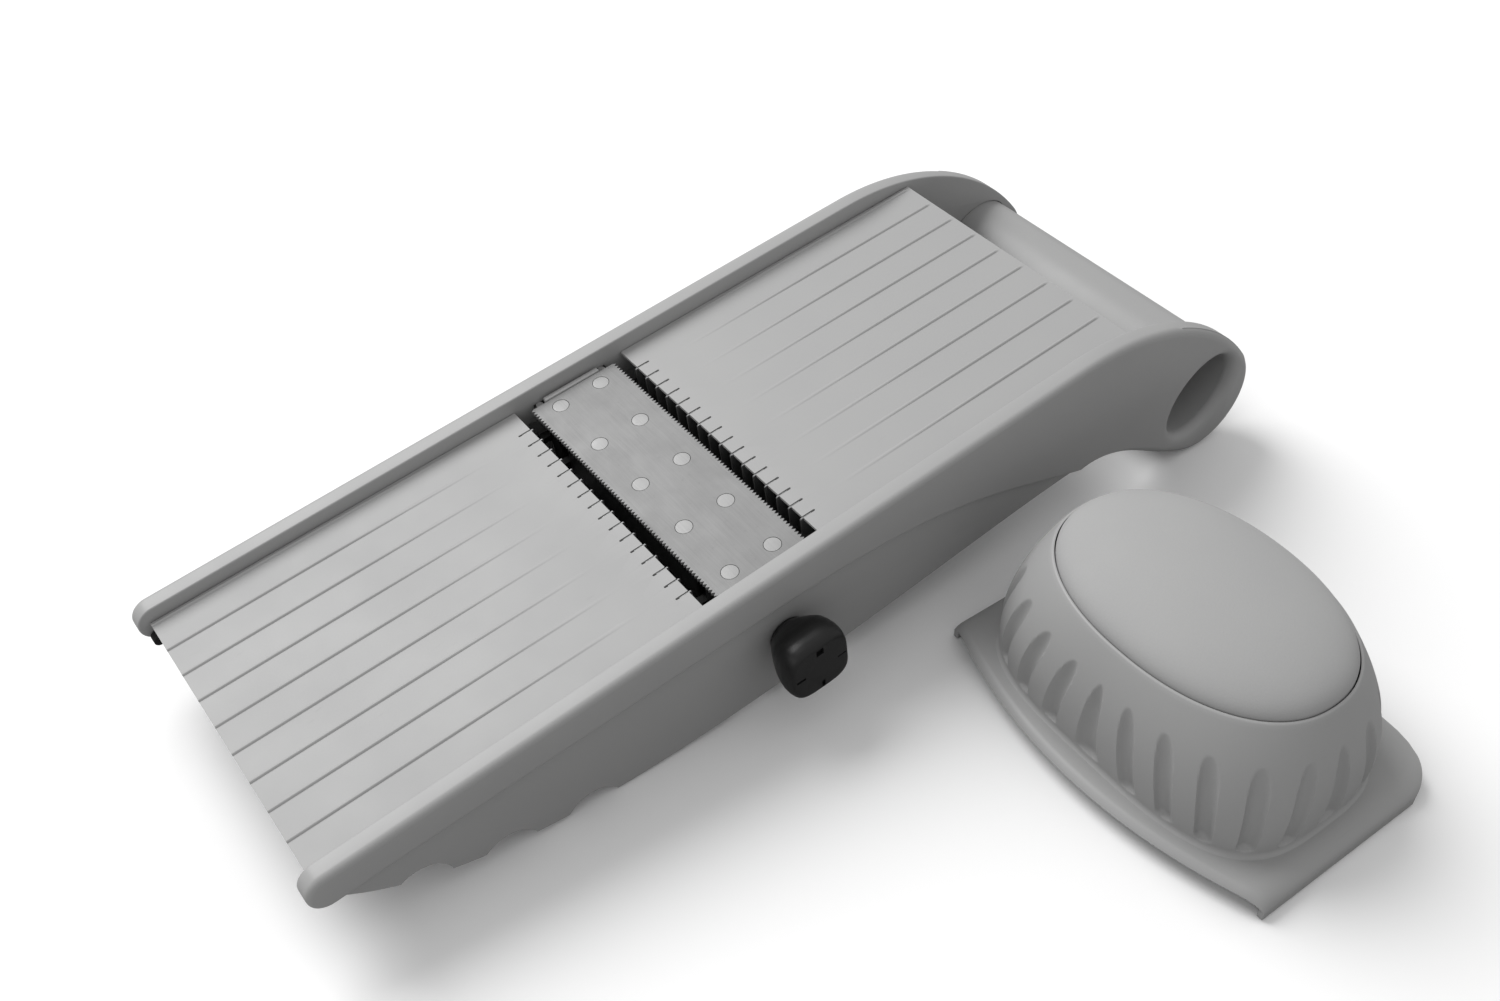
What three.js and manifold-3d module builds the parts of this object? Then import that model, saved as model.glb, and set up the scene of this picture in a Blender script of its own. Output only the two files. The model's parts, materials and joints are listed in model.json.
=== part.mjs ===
// Adjustable mandoline slicer with its hand guard, in millimetres.
// The slicer's own frame: x across the runway, y along it from the near end to the handle,
// z square to the runway with z = 0 on its surface. The whole slicer is tilted to stand on a worktop.
import * as THREE from "three";
import { mergeVertices } from "three/addons/utils/BufferGeometryUtils.js";
import Module from "manifold-3d";

const wasm = await Module();
wasm.setup();

// Driving dimensions: runway and blade
const runwayWidth = 118;
const frontPlateLength = 138;
const rearPlateLength = 135;
const bladeWidth = 35.6;
const bladeEndGap = 3.7;
const bladeThickness = 1.2;
const bridgeDepth = 30;
const slicingGap = 4.8;
const plateThickness = 2.4;
const ribPitch = 12.7;
const ribCount = 10;
const ribWidth = 1.2;
const ribHeight = 0.6;
const edgeToothPitch = 3;
const edgeToothDepth = 0.8;
const rivetDiameter = 6;
const rivetEndGap = 5.1;
const rivetRowSpacing = 16.8;
const rivetsPerRow = 5;

// Driving dimensions: side rails and handle
const railThickness = 7;
const railRise = 5;
const railRiseAtBack = 6.5;
const railEdgeRadius = 1.5;
const bandDepth = 9.3;
const skirtThickness = 3;
const skirtRecess = 2;
const skirtDepth = 47.8;
const lobeRadius = 22.3;
const lobeSetback = 38;
const lobeDrop = 53.5;
const gripSetback = 34;
const gripDrop = 48;
const gripLong = 17;
const gripShort = 13.5;
const gripTurn = THREE.MathUtils.degToRad(42);
const gripWall = 2.8;
const gripSocketDepth = 3;
const scallopRadius = 10.5;
const scallopDepth = 5;

// Driving dimensions: thickness selector and julienne combs
const selectorDrop = 24.5;
const shaftRadius = 3;
const knobSize = 25;
const knobDepth = 18.5;
const plateDrop = 4.5;
const combLift = 7;
const combToothCount = 16;
const combToothPitch = 6.35;
const combToothThickness = 0.5;
const slotLength = 4.9;
const selectorTurn = THREE.MathUtils.degToRad(270);
const combCamRadius = 5;
const dropCamRadius = 9.5;
const camThickness = 3;
const hingeRodRadius = 2;
const braceHeight = 12;
const braceDepth = 14;
const wall = 2.5;

// Driving dimensions: hand guard
const guardRailPlay = 0.5;
const lipThickness = 2;
const lipLength = 68;
const guardFlangeDepth = 96;
const guardFlangeTop = 8.5;
const guardFlangeThickness = 2.2;
const domeBaseDepth = 78;
const domeBulge = 4.6;
const seamTaper = 16;
const seamDepth = 70.6;
const seamHeight = 56.4;
const domeHeight = 68.7;
const guardWall = 2.2;
const capSkirt = 8;
const stemRadius = 4;
const springRadius = 9;
const springWire = 1.4;
const springTurns = 5;
const spikeLength = 9;
const guardOffset = 149.3;
const guardStation = 255;
const guardYaw = THREE.MathUtils.degToRad(-1);

// Clearances
const seat = 0.3;
const play = 0.4;
const running = 0.25;

// Derived places in the slicer's frame
const halfRunway = runwayWidth / 2;
const bladeLength = runwayWidth - 2 * bladeEndGap;
const rivetPitch = (bladeLength - 2 * rivetEndGap) / (rivetsPerRow - 1);
const domeBaseWidth = runwayWidth;
const seamWidth = domeBaseWidth - seamTaper;
const railOuter = halfRunway + railThickness;
const skirtOuter = railOuter - skirtRecess;
const skirtInner = skirtOuter - skirtThickness;
const windowLength = bladeWidth + 2 * slicingGap;
const bladeY = frontPlateLength + windowLength / 2;
const rearPlateStart = frontPlateLength + windowLength;
const rearPlateEnd = rearPlateStart + rearPlateLength;
const lobeY = rearPlateEnd + lobeSetback;
const gripY = rearPlateEnd + gripSetback;
const gripOuterLong = gripLong + gripWall;
const gripOuterShort = gripShort + gripWall;

const plastic = (color, roughness = 0.45) =>
  new THREE.MeshStandardMaterial({ color, roughness, metalness: 0 });
const steel = (color, roughness = 0.3) =>
  new THREE.MeshStandardMaterial({ color, roughness, metalness: 1 });

// Solids: closed meshes, joined and cut
function solid(geometry) {
  const bare = geometry.index ? geometry.toNonIndexed() : geometry.clone();
  bare.deleteAttribute("normal");
  bare.deleteAttribute("uv");
  const merged = mergeVertices(bare, 1e-4);
  return new wasm.Manifold(
    new wasm.Mesh({
      numProp: 3,
      vertProperties: new Float32Array(merged.attributes.position.array),
      triVerts: new Uint32Array(merged.index.array),
    }),
  );
}

const join = (first, ...rest) => rest.reduce((sum, part) => sum.add(part), first);
const cut = (first, ...rest) => rest.reduce((left, part) => left.subtract(part), first);

function box(x0, x1, y0, y1, z0, z1) {
  const geometry = new THREE.BoxGeometry(x1 - x0, y1 - y0, z1 - z0);
  return solid(geometry.translate((x0 + x1) / 2, (y0 + y1) / 2, (z0 + z1) / 2));
}

// A cylinder along x between x0 and x1.
function barX(radius, x0, x1, y, z, sides = 24) {
  const geometry = new THREE.CylinderGeometry(radius, radius, x1 - x0, sides);
  return solid(geometry.rotateZ(-Math.PI / 2).translate((x0 + x1) / 2, y, z));
}

// A turned shape along z from [radius, z] points.
function turned(points, x, y, sides = 24) {
  const profile = points.map(([r, z]) => new THREE.Vector2(r, z));
  return solid(new THREE.LatheGeometry(profile, sides).rotateX(Math.PI / 2).translate(x, y, 0));
}

// An outline drawn in (y, z), extruded along x from x0 to x1, with optional rounded edges.
function extrudeX(shape, x0, x1, edge = 0, curveSegments = 8) {
  const geometry = new THREE.ExtrudeGeometry(shape, {
    depth: x1 - x0 - 2 * edge,
    curveSegments,
    bevelEnabled: edge > 0,
    bevelThickness: edge,
    bevelSize: edge,
    bevelOffset: -edge,
    bevelSegments: 1,
  });
  const basis = new THREE.Matrix4().makeBasis(
    new THREE.Vector3(0, 1, 0),
    new THREE.Vector3(0, 0, 1),
    new THREE.Vector3(1, 0, 0),
  );
  return solid(geometry.applyMatrix4(basis).translate(x0 + edge, 0, 0));
}

// An outline drawn in (x, y), extruded along z from z0 to z1.
function extrudeZ(shape, z0, z1, edge = 0) {
  const geometry = new THREE.ExtrudeGeometry(shape, {
    depth: z1 - z0 - 2 * edge,
    curveSegments: 6,
    bevelEnabled: edge > 0,
    bevelThickness: edge,
    bevelSize: edge,
    bevelOffset: -edge,
    bevelSegments: 1,
  });
  return solid(geometry.translate(0, 0, z0 + edge));
}

const polygon = (points) => new THREE.Shape(points.map(([a, b]) => new THREE.Vector2(a, b)));
const oval = (a, b, long, short, turn) =>
  new THREE.Shape().absellipse(a, b, long, short, 0, 2 * Math.PI, false, turn);

function node(name, shape, material, group) {
  const { vertProperties, triVerts, numProp } = shape.getMesh();
  const geometry = new THREE.BufferGeometry();
  const points = new THREE.InterleavedBuffer(vertProperties, numProp);
  geometry.setAttribute("position", new THREE.InterleavedBufferAttribute(points, 3, 0));
  geometry.setIndex(new THREE.BufferAttribute(triVerts, 1));
  const flat = geometry.toNonIndexed();
  flat.computeVertexNormals();
  const mesh = new THREE.Mesh(flat, material);
  mesh.name = name;
  group.add(mesh);
}

const mirrorX = (shape) => shape.mirror([1, 0, 0]);

// Side rails: a rounded band beside the runway, a recessed skirt below it, and a lobe that holds the grip
const tipRadius = (railRise + 8) / 2;
const backY = rearPlateEnd - 28;
const backDrop = railRiseAtBack + lobeDrop;
const backReach = lobeY - backY;
const backRadius =
  (backReach ** 2 + backDrop ** 2 - lobeRadius ** 2) / (2 * (backDrop - lobeRadius));
const lobeStart = Math.atan2(backRadius - backDrop, backReach);
const lobeEnd = THREE.MathUtils.degToRad(-115);
const skirtLowY = bladeY - 15;

function addBackAndLobe(shape) {
  shape.lineTo(backY, railRiseAtBack);
  shape.absarc(backY, railRiseAtBack - backRadius, backRadius, Math.PI / 2, lobeStart, true);
  shape.absarc(lobeY, -lobeDrop, lobeRadius, lobeStart, lobeEnd, true);
  const leaveY = lobeY + lobeRadius * Math.cos(lobeEnd);
  const leaveZ = -lobeDrop + lobeRadius * Math.sin(lobeEnd);
  shape.bezierCurveTo(leaveY - 20, leaveZ + 9.3, backY + 20, 8 - skirtDepth, backY, 5 - skirtDepth);
}

function startAtTip(shape) {
  shape.moveTo(tipRadius - 4, railRise);
}

function sideOutline() {
  const shape = new THREE.Shape();
  startAtTip(shape);
  addBackAndLobe(shape);
  shape.bezierCurveTo(backY - 35, 6 - skirtDepth, skirtLowY + 55, -skirtDepth, skirtLowY, -skirtDepth);
  shape.bezierCurveTo(skirtLowY - 50, -skirtDepth, 36, 6 - skirtDepth, 4, railRise - 2 * tipRadius);
  shape.absarc(tipRadius - 4, railRise - tipRadius, tipRadius, -Math.PI / 2, Math.PI / 2, true);
  return shape;
}

function bandOutline() {
  const shape = new THREE.Shape();
  startAtTip(shape);
  addBackAndLobe(shape);
  shape.bezierCurveTo(backY - 40, 22 - skirtDepth, backY - 60, -bandDepth - 1, bladeY, -bandDepth);
  shape.lineTo(22, 1.6 - bandDepth);
  shape.lineTo(tipRadius - 4, railRise - 2 * tipRadius);
  shape.absarc(tipRadius - 4, railRise - tipRadius, tipRadius, -Math.PI / 2, Math.PI / 2, true);
  return shape;
}

// Rim notches centred at these stations along the skirt's lower edge
const scallopStations = [27.5, 54, 82.5];

function scallops() {
  const edge = sideOutline().getPoints(24);
  return scallopStations.map((station) => {
    const near = edge.findIndex((p, i) => {
      const next = edge[i + 1];
      return next && p.y < -bandDepth && p.x >= station && next.x <= station;
    });
    const [p, q] = [edge[near], edge[near + 1]];
    const point = p.clone().lerp(q, (p.x - station) / (p.x - q.x));
    const along = q.clone().sub(p).normalize();
    const out = new THREE.Vector2(-along.y, along.x);
    const down = out.y < 0 ? out : out.negate();
    const centre = point.add(down.multiplyScalar(scallopRadius - scallopDepth));
    return barX(scallopRadius, skirtInner - 1, railOuter + 1, centre.x, centre.y, 24);
  });
}

// Where the cross braces, the bridge and the hinge rods fasten
const braceStations = [48, 262];
const braceTop = -14;
const bossLength = 3.6;
const screwRadius = 1.5;
const ledgeInner = halfRunway - 3.4;
const bridgeTop = -bladeThickness + 0.2 - seat;
const bridgeSkin = 2.8;
const ledgeTop = bridgeTop - bridgeSkin - seat;
const ledgeDepth = 4;
const rodDrop = 5.2;
const rodStations = [6, rearPlateEnd - 6];
const rodBoss = 6;

function rodBossAt(y) {
  const low = -rodDrop - hingeRodRadius - wall;
  const top = -plateThickness - seat - 0.4;
  const block = box(halfRunway - 4, halfRunway + 1, y - rodBoss, y + rodBoss, low, top);
  return block;
}

function rightRail() {
  const band = extrudeX(bandOutline(), halfRunway, railOuter, railEdgeRadius, 7);
  const skirt = extrudeX(sideOutline(), skirtInner, skirtOuter, 0, 10);
  const skirtTop = box(skirtInner - 1, halfRunway + 2, -20, lobeY + 60, -bandDepth + 3, 40);
  const bosses = braceStations.map((y) =>
    barX(4, skirtInner - bossLength, skirtInner + 1, y, braceTop - braceHeight / 2, 16),
  );
  const ledge = box(
    ledgeInner, halfRunway + 1,
    bladeY - bridgeDepth / 2, bladeY + bridgeDepth / 2,
    ledgeTop - ledgeDepth, ledgeTop,
  );
  const rodBosses = rodStations.map(rodBossAt);
  const grip = oval(gripY, -gripDrop, gripOuterLong + seat, gripOuterShort + seat, gripTurn);
  const mouth = oval(gripY, -gripDrop, gripLong, gripShort, gripTurn);
  const socket = extrudeX(grip, halfRunway - 2, halfRunway + gripSocketDepth, 0, 12);
  const through = extrudeX(mouth, halfRunway, railOuter + 2, 0, 12);
  const funnel = extrudeX(
    oval(gripY, -gripDrop, gripLong + 4.5, gripShort + 4.5, gripTurn),
    railOuter - 2, railOuter + 4, 2.5, 12,
  );
  const braceMiddle = braceTop - braceHeight / 2;
  const blind = braceStations.map((y) =>
    barX(screwRadius + running, skirtInner - bossLength - 1, skirtOuter - 1, y, braceMiddle, 12),
  );
  const rodHoles = rodStations.map((y) =>
    barX(hingeRodRadius + seat, halfRunway - 5, railOuter - 3, y, -rodDrop, 16),
  );
  const ledgeHoles = screwYs().map((y) =>
    turned([[0, ledgeTop - 3.4], [1.3, ledgeTop - 3.4], [1.3, ledgeTop + 1], [0, ledgeTop + 1]],
      bridgeScrewX, y, 12),
  );
  const bushHole = barX(bushRadius + seat, skirtInner - 1, railOuter + 1, bladeY, -selectorDrop, 24);
  const body = join(band, cut(skirt, skirtTop), ...bosses, ledge, ...rodBosses);
  return cut(
    body, socket, through, funnel, ...blind, ...rodHoles, ...ledgeHoles, bushHole, ...scallops(),
  );
}

// Bridge screws stand upright through the bridge's ends into the rails' ledges
const bridgeScrewX = halfRunway - 1.7;
const bushRadius = 5;
function screwYs() {
  return [bladeY - bridgeDepth / 2 + 1.9, bladeY + bridgeDepth / 2 - 1.9];
}

// Runway plates: a thin plate with lengthwise beads, comb slots in its inner end and hinge barrels below
const plateHalf = halfRunway - play;
const slotWidth = combToothThickness + 2 * play - 0.3;
const combXs = Array.from(
  { length: combToothCount },
  (_, i) => (i - (combToothCount - 1) / 2) * combToothPitch,
);

// The bead runs from the outer end and fades out before the comb slots.
function bead(x, outerY, innerY) {
  const toInner = Math.sign(innerY - outerY);
  const fade = 45;
  const side = polygon([
    [outerY, -0.6], [outerY, ribHeight], [innerY - toInner * fade, ribHeight], [innerY, -0.6],
  ]);
  return extrudeX(side, x - ribWidth / 2, x + ribWidth / 2);
}

function runwayPlate(outerY, innerY, rodY) {
  const toInner = Math.sign(innerY - outerY);
  const low = Math.min(outerY, innerY);
  const high = Math.max(outerY, innerY);
  const sheet = box(-plateHalf, plateHalf, low, high, -plateThickness, 0);
  const first = (ribCount - 1) / 2;
  const beads = Array.from({ length: ribCount }, (_, i) => {
    const x = (i - first) * ribPitch;
    const clamped = Math.sign(x) * Math.min(Math.abs(x), plateHalf - ribWidth / 2 - 0.5);
    return bead(clamped, outerY + toInner * 1.5, innerY - toInner * (slotLength + 14));
  });
  const slots = combXs.map((x) => {
    const end = innerY - toInner * slotLength;
    return box(
      x - slotWidth / 2, x + slotWidth / 2,
      Math.min(end, innerY + toInner), Math.max(end, innerY + toInner), -plateThickness - 1, 1,
    );
  });
  const barrelX = halfRunway - 4 - play;
  const barrels = [-1, 1].map((side) => {
    const x0 = side > 0 ? barrelX - 6 : -barrelX;
    const drum = barX(hingeRodRadius + 2, x0, x0 + 6, rodY, -rodDrop, 20);
    const neck = box(x0, x0 + 6, rodY - 2, rodY + 2, -rodDrop, -plateThickness + 0.5);
    return drum.add(neck);
  });
  const bore = barX(hingeRodRadius + running, -halfRunway, halfRunway, rodY, -rodDrop, 20);
  return cut(join(sheet, ...beads, ...barrels), bore, ...slots);
}

// Blade: one steel plate with both long edges toothed, held to the bridge by round rivets
const bladeTop = 0.2;
const rivetXs = Array.from({ length: rivetsPerRow }, (_, i) => (i - (rivetsPerRow - 1) / 2) * rivetPitch);
const rivetYs = [bladeY - rivetRowSpacing / 2, bladeY + rivetRowSpacing / 2];

function blade() {
  const teeth = Math.floor(bladeLength / edgeToothPitch);
  const pitch = bladeLength / teeth;
  const edge = bladeWidth / 2;
  const points = [];
  for (let i = 0; i <= teeth; i++) {
    points.push([-bladeLength / 2 + i * pitch, bladeY - edge + edgeToothDepth]);
    if (i < teeth) points.push([-bladeLength / 2 + (i + 0.5) * pitch, bladeY - edge]);
  }
  const far = points.map(([x, y]) => [x, 2 * bladeY - y]).reverse();
  const sheet = extrudeZ(polygon([...points, ...far]), bladeTop - bladeThickness, bladeTop);
  const holes = rivetXs.flatMap((x) =>
    rivetYs.map((y) =>
      turned([[0, -3], [rivetDiameter / 2 + seat, -3], [rivetDiameter / 2 + seat, 2], [0, 2]], x, y, 10),
    ),
  );
  return cut(sheet, ...holes);
}

const rivetHeadLow = bladeTop - bladeThickness - seat - 1;
function rivet(x, y) {
  const under = bridgeTop - bridgeSkin - seat;
  const shank = rivetDiameter / 2 - 1.2;
  return turned(
    [[0, under - 1], [shank + 0.8, under - 1], [shank + 0.8, under], [shank, under],
      [shank, rivetHeadLow], [rivetDiameter / 2, rivetHeadLow], [rivetDiameter / 2, bladeTop], [0, bladeTop]],
    x, y, 10,
  );
}

// Bridge: the moulded bar under the blade, resting on the rails' ledges
function bridge() {
  const half = halfRunway - play;
  const [y0, y1] = [bladeY - bridgeDepth / 2, bladeY + bridgeDepth / 2];
  const top = box(-half, half, y0, y1, bridgeTop - bridgeSkin, bridgeTop);
  const stiffeners = [y0, y1 - wall].map((y) =>
    box(-ledgeInner + 1, ledgeInner - 1, y, y + wall, bridgeTop - bridgeSkin - 2, bridgeTop - 1),
  );
  const shank = rivetDiameter / 2 - 1.2 + seat;
  const bore = rivetDiameter / 2 + seat;
  const low = bridgeTop - bridgeSkin - 3;
  const holes = rivetXs.flatMap((x) =>
    rivetYs.map((y) =>
      turned([[0, low], [shank, low], [shank, rivetHeadLow - seat], [bore, rivetHeadLow - seat],
        [bore, 1], [0, 1]], x, y, 10),
    ),
  );
  const screws = [-1, 1].flatMap((side) =>
    screwYs().map((y) =>
      turned([[0, low], [1.3, low], [1.3, bridgeTop - 1.4], [1.7, bridgeTop - 1.4], [1.7, 1], [0, 1]],
        side * bridgeScrewX, y, 8),
    ),
  );
  const clip = box(
    clipX - 1 - seat, clipX + 1 + seat, bladeY - clipLength / 2 - seat, bladeY + clipLength / 2 + seat,
    bridgeTop - 1.5 - seat, 1,
  );
  return cut(join(top, ...stiffeners), ...holes, ...screws, clip);
}

function bridgeScrew(x, y) {
  const tip = ledgeTop - 3;
  return turned(
    [[0, tip], [1, tip], [1, bridgeTop - 1.1], [1.4, bridgeTop - 1.1], [1.4, bridgeTop], [0, bridgeTop]],
    x, y, 8,
  );
}

// End clip: a bar let into the bridge that laps the blade's end
const clipLength = 22.6;
const clipX = -(bladeLength / 2 + seat + 1);
function bladeEndClip() {
  const [y0, y1] = [bladeY - clipLength / 2, bladeY + clipLength / 2];
  return box(clipX - 1, clipX + 1, y0, y1, bridgeTop - 1.5, bladeTop + 0.5);
}

// Cross braces: channels between the skirts, each end a flange on a screw boss
const flangeOuter = skirtInner - bossLength - seat;
function crossBrace(y) {
  const [y0, y1] = [y - braceDepth / 2, y + braceDepth / 2];
  const low = braceTop - braceHeight;
  const beam = box(-flangeOuter, flangeOuter, y0, y1, low, braceTop);
  const hollow = box(-flangeOuter + wall, flangeOuter - wall, y0 + wall, y1 - wall, low - 1, braceTop - wall);
  const hole = barX(screwRadius + running, -flangeOuter - 1, flangeOuter + 1, y, low + braceHeight / 2, 12);
  return cut(beam, hollow, hole);
}

function braceScrew(side, y) {
  const head = flangeOuter - wall - seat;
  const z = braceTop - braceHeight / 2;
  const shank = barX(screwRadius, head - 0.5, skirtInner + 1, y, z, 8);
  const right = shank.add(barX(3, head - 1.6, head, y, z, 8));
  return side > 0 ? right : mirrorX(right);
}

const hingeRod = (y) => barX(hingeRodRadius, -railOuter + 3.5, railOuter - 3.5, y, -rodDrop, 16);

// Rubber feet under the rails' near tips
function tipFoot(side) {
  const top = -rodDrop - hingeRodRadius - wall - seat;
  const right = box(halfRunway - 4, halfRunway - seat, 0.5, rodStations[0] + rodBoss - 0.5, top - 3, top);
  return side > 0 ? right : mirrorX(right);
}

function gripTube() {
  const end = halfRunway + gripSocketDepth - seat;
  const outer = extrudeX(oval(gripY, -gripDrop, gripOuterLong, gripOuterShort, gripTurn), -end, end, 0, 12);
  const inner = extrudeX(oval(gripY, -gripDrop, gripLong, gripShort, gripTurn), -end - 1, end + 1, 0, 12);
  return cut(outer, inner);
}

// Selector: knob, shaft, bushes, cams and index wheel on one axis along x
const knobBase = skirtOuter + seat + 0.5;
const knobFace = knobBase + knobDepth;
const shaftLeft = -skirtOuter + 1;
const shaftRight = knobBase + 12;

function shaft() {
  return barX(shaftRadius, shaftLeft, shaftRight, bladeY, -selectorDrop, 24);
}

function knobOutline(size, corner) {
  const h = size / 2;
  const shape = new THREE.Shape();
  const [y, z] = [bladeY, -selectorDrop];
  const bow = h * 1.07;
  shape.moveTo(y - h + corner, z - h);
  shape.quadraticCurveTo(y, z - 2 * bow + h, y + h - corner, z - h);
  shape.quadraticCurveTo(y + h, z - h, y + h, z - h + corner);
  shape.quadraticCurveTo(y + 2 * bow - h, z, y + h, z + h - corner);
  shape.quadraticCurveTo(y + h, z + h, y + h - corner, z + h);
  shape.quadraticCurveTo(y, z + 2 * bow - h, y - h + corner, z + h);
  shape.quadraticCurveTo(y - h, z + h, y - h, z + h - corner);
  shape.quadraticCurveTo(y - 2 * bow + h, z, y - h, z - h + corner);
  shape.quadraticCurveTo(y - h, z - h, y - h + corner, z - h);
  return shape;
}

function knob() {
  const body = extrudeX(knobOutline(knobSize, 6), knobBase, knobFace, 2, 5);
  const bore = barX(shaftRadius + seat, knobBase - 1, shaftRight + seat, bladeY, -selectorDrop, 24);
  const markRadius = 7.3;
  const marks = [0, 1, 2, 3].map((quarter) => {
    const angle = Math.PI / 2 - (quarter * Math.PI) / 2;
    const y = bladeY + markRadius * Math.cos(angle);
    const z = -selectorDrop + markRadius * Math.sin(angle);
    const [dy, dz] = [[1.1, 1.1], [1.6, 0.35], [0.6, 1.5], [1.6, 0.6]][quarter];
    return box(knobFace - 0.5, knobFace + 1, y - dy, y + dy, z - dz, z + dz);
  });
  return cut(body, bore, ...marks);
}

function shaftBush(side) {
  const flangeIn = skirtInner - seat;
  const sleeve = barX(bushRadius, flangeIn - 0.5, skirtOuter, bladeY, -selectorDrop, 24);
  const flange = barX(bushRadius + 2.5, flangeIn - 1.5, flangeIn, bladeY, -selectorDrop, 24);
  const bore = barX(shaftRadius + running, flangeIn - 3, skirtOuter + 1, bladeY, -selectorDrop, 24);
  const right = cut(join(sleeve, flange), bore);
  return side > 0 ? right : mirrorX(right);
}

function retainingRing() {
  const x = -(skirtInner - seat - 1.5 - play - 1);
  const ring = barX(shaftRadius + 2.5, x, x + 1, bladeY, -selectorDrop, 24);
  const gap = box(x - 1, x + 2, bladeY - 1.8, bladeY + 1.8, -selectorDrop - 9, -selectorDrop);
  return cut(ring, barX(shaftRadius + seat, x - 1, x + 2, bladeY, -selectorDrop, 24), gap);
}

// A spiral cam: its radius above the shaft changes evenly from start to end over the selector's turn.
function cam(x, start, end) {
  const steps = 40;
  const points = [];
  for (let i = 0; i < steps; i++) {
    const angle = (i / steps) * 2 * Math.PI;
    const inTurn = angle <= selectorTurn;
    const t = inTurn ? angle / selectorTurn : (2 * Math.PI - angle) / (2 * Math.PI - selectorTurn);
    const r = start + (end - start) * t;
    points.push([bladeY + r * Math.sin(angle), -selectorDrop + r * Math.cos(angle)]);
  }
  const disc = extrudeX(polygon(points.reverse()), x - camThickness / 2, x + camThickness / 2);
  return disc.subtract(barX(shaftRadius + seat, x - 5, x + 5, bladeY, -selectorDrop, 24));
}

const indexX = 18;
const indexRadius = 8;
function indexWheel() {
  const wheel = barX(indexRadius, indexX - 2, indexX + 2, bladeY, -selectorDrop, 32);
  const notches = [0, 1, 2, 3].map((quarter) => {
    const angle = (quarter * Math.PI) / 2 + Math.PI / 2;
    const [y, z] = [Math.cos(angle) * indexRadius, Math.sin(angle) * indexRadius];
    return barX(1.1, indexX - 3, indexX + 3, bladeY + y, -selectorDrop + z, 10);
  });
  return cut(wheel, barX(shaftRadius + seat, indexX - 5, indexX + 5, bladeY, -selectorDrop, 24), ...notches);
}

// The detent spring hangs from the bridge and its rounded end rides the index wheel.
function detentSpring() {
  const top = bridgeTop - bridgeSkin - seat;
  const tip = -selectorDrop + indexRadius + seat;
  const side = polygon([
    [bladeY - 9, top], [bladeY - 9, top - 1], [bladeY - 1, top - 1],
    [bladeY - 1.6, tip + 1.5], [bladeY, tip], [bladeY + 1.2, tip + 1.5], [bladeY + 0.2, top],
  ]);
  return extrudeX(side, indexX - 2, indexX + 2);
}

// Height carriage: two bars under the plates' inner ends, joined by links that ride the drop cams
const dropCamX = halfRunway - 6;
const combCamX = ((combToothCount - 1) * combToothPitch) / 2 - 6.125;
const linkHalf = 1.5;
const barTop = -plateThickness - seat;
const frontBarY = frontPlateLength - slotLength - 4.6;
const rearBarY = rearPlateStart + slotLength + 4.6;
const barHalf = 2.2;

function heightCarriage() {
  const camTop = -selectorDrop + dropCamRadius + seat;
  const linkLow = camTop + 1;
  const linkHigh = linkLow + wall;
  const bars = [frontBarY, rearBarY].map((y) =>
    box(-dropCamX - linkHalf, dropCamX + linkHalf, y - barHalf, y + barHalf, barTop - 3.3, barTop),
  );
  const sides = [-dropCamX, dropCamX].map((x) => {
    const link = box(x - linkHalf, x + linkHalf, frontBarY - barHalf, rearBarY + barHalf, linkLow, linkHigh);
    const knife = box(x - linkHalf, x + linkHalf, bladeY - 1.2, bladeY + 0.1, camTop, linkLow + 0.5);
    const posts = [frontBarY, rearBarY].map((y) =>
      box(x - linkHalf, x + linkHalf, y - barHalf, y + barHalf, linkLow, barTop - 1),
    );
    return join(link, knife, ...posts);
  });
  return join(bars[0], bars[1], ...sides);
}

// Comb carriage: two bars that carry the steel combs under the plates' slots, lifted by the comb cams
const combTipZ = -0.3;
const combBaseTop = -plateThickness - plateDrop - combLift - 0.5;
const combStrip = 1;
const combBarTop = combBaseTop - combStrip - seat;
const frontCombY = [frontPlateLength - slotLength + play + 0.3, frontPlateLength - play];
const rearCombY = [rearPlateStart + play, rearPlateStart + slotLength - play - 0.3];

function combCarriage() {
  const camTop = -selectorDrop + combCamRadius + seat;
  const linkLow = camTop + 1.4;
  const half = combXs[combToothCount - 1] + 2;
  const ribs = [frontCombY, rearCombY].map(([y0, y1]) =>
    box(-half, half, y0, y1, combBarTop - 3.3, combBarTop),
  );
  const sides = [-combCamX, combCamX].map((x) => {
    const link = box(x - linkHalf, x + linkHalf, frontCombY[0], rearCombY[1], linkLow, combBarTop);
    const knife = box(x - linkHalf, x + linkHalf, bladeY - 0.1, bladeY + 1.2, camTop, linkLow + 0.5);
    return join(link, knife);
  });
  return join(ribs[0], ribs[1], ...sides);
}

// A comb: one folded steel strip with a tooth in every slot
function steelComb([y0, y1]) {
  const half = combXs[combToothCount - 1] + 1.6;
  const strip = box(-half, half, y0, y1, combBaseTop - combStrip, combBaseTop);
  const middle = (y0 + y1) / 2;
  const teeth = combXs.map((x) => {
    const side = polygon([
      [y0, combBaseTop - 0.5], [y1, combBaseTop - 0.5], [y1, combTipZ - 2], [middle, combTipZ],
      [y0, combTipZ - 2],
    ]);
    return extrudeX(side, x - combToothThickness / 2, x + combToothThickness / 2);
  });
  return join(strip, ...teeth);
}

// Hand guard, in its own frame: z = 0 under the lips, x across the slicer, y along it
const guardInner = railOuter + guardRailPlay;
const guardOuter = guardInner + lipThickness;
const domeBaseZ = guardFlangeTop;

const superellipse = (a, b, power, angle) => {
  const [c, s] = [Math.cos(angle), Math.sin(angle)];
  return [
    a * Math.sign(c) * Math.abs(c) ** (2 / power),
    b * Math.sign(s) * Math.abs(s) ** (2 / power),
  ];
};

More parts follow.
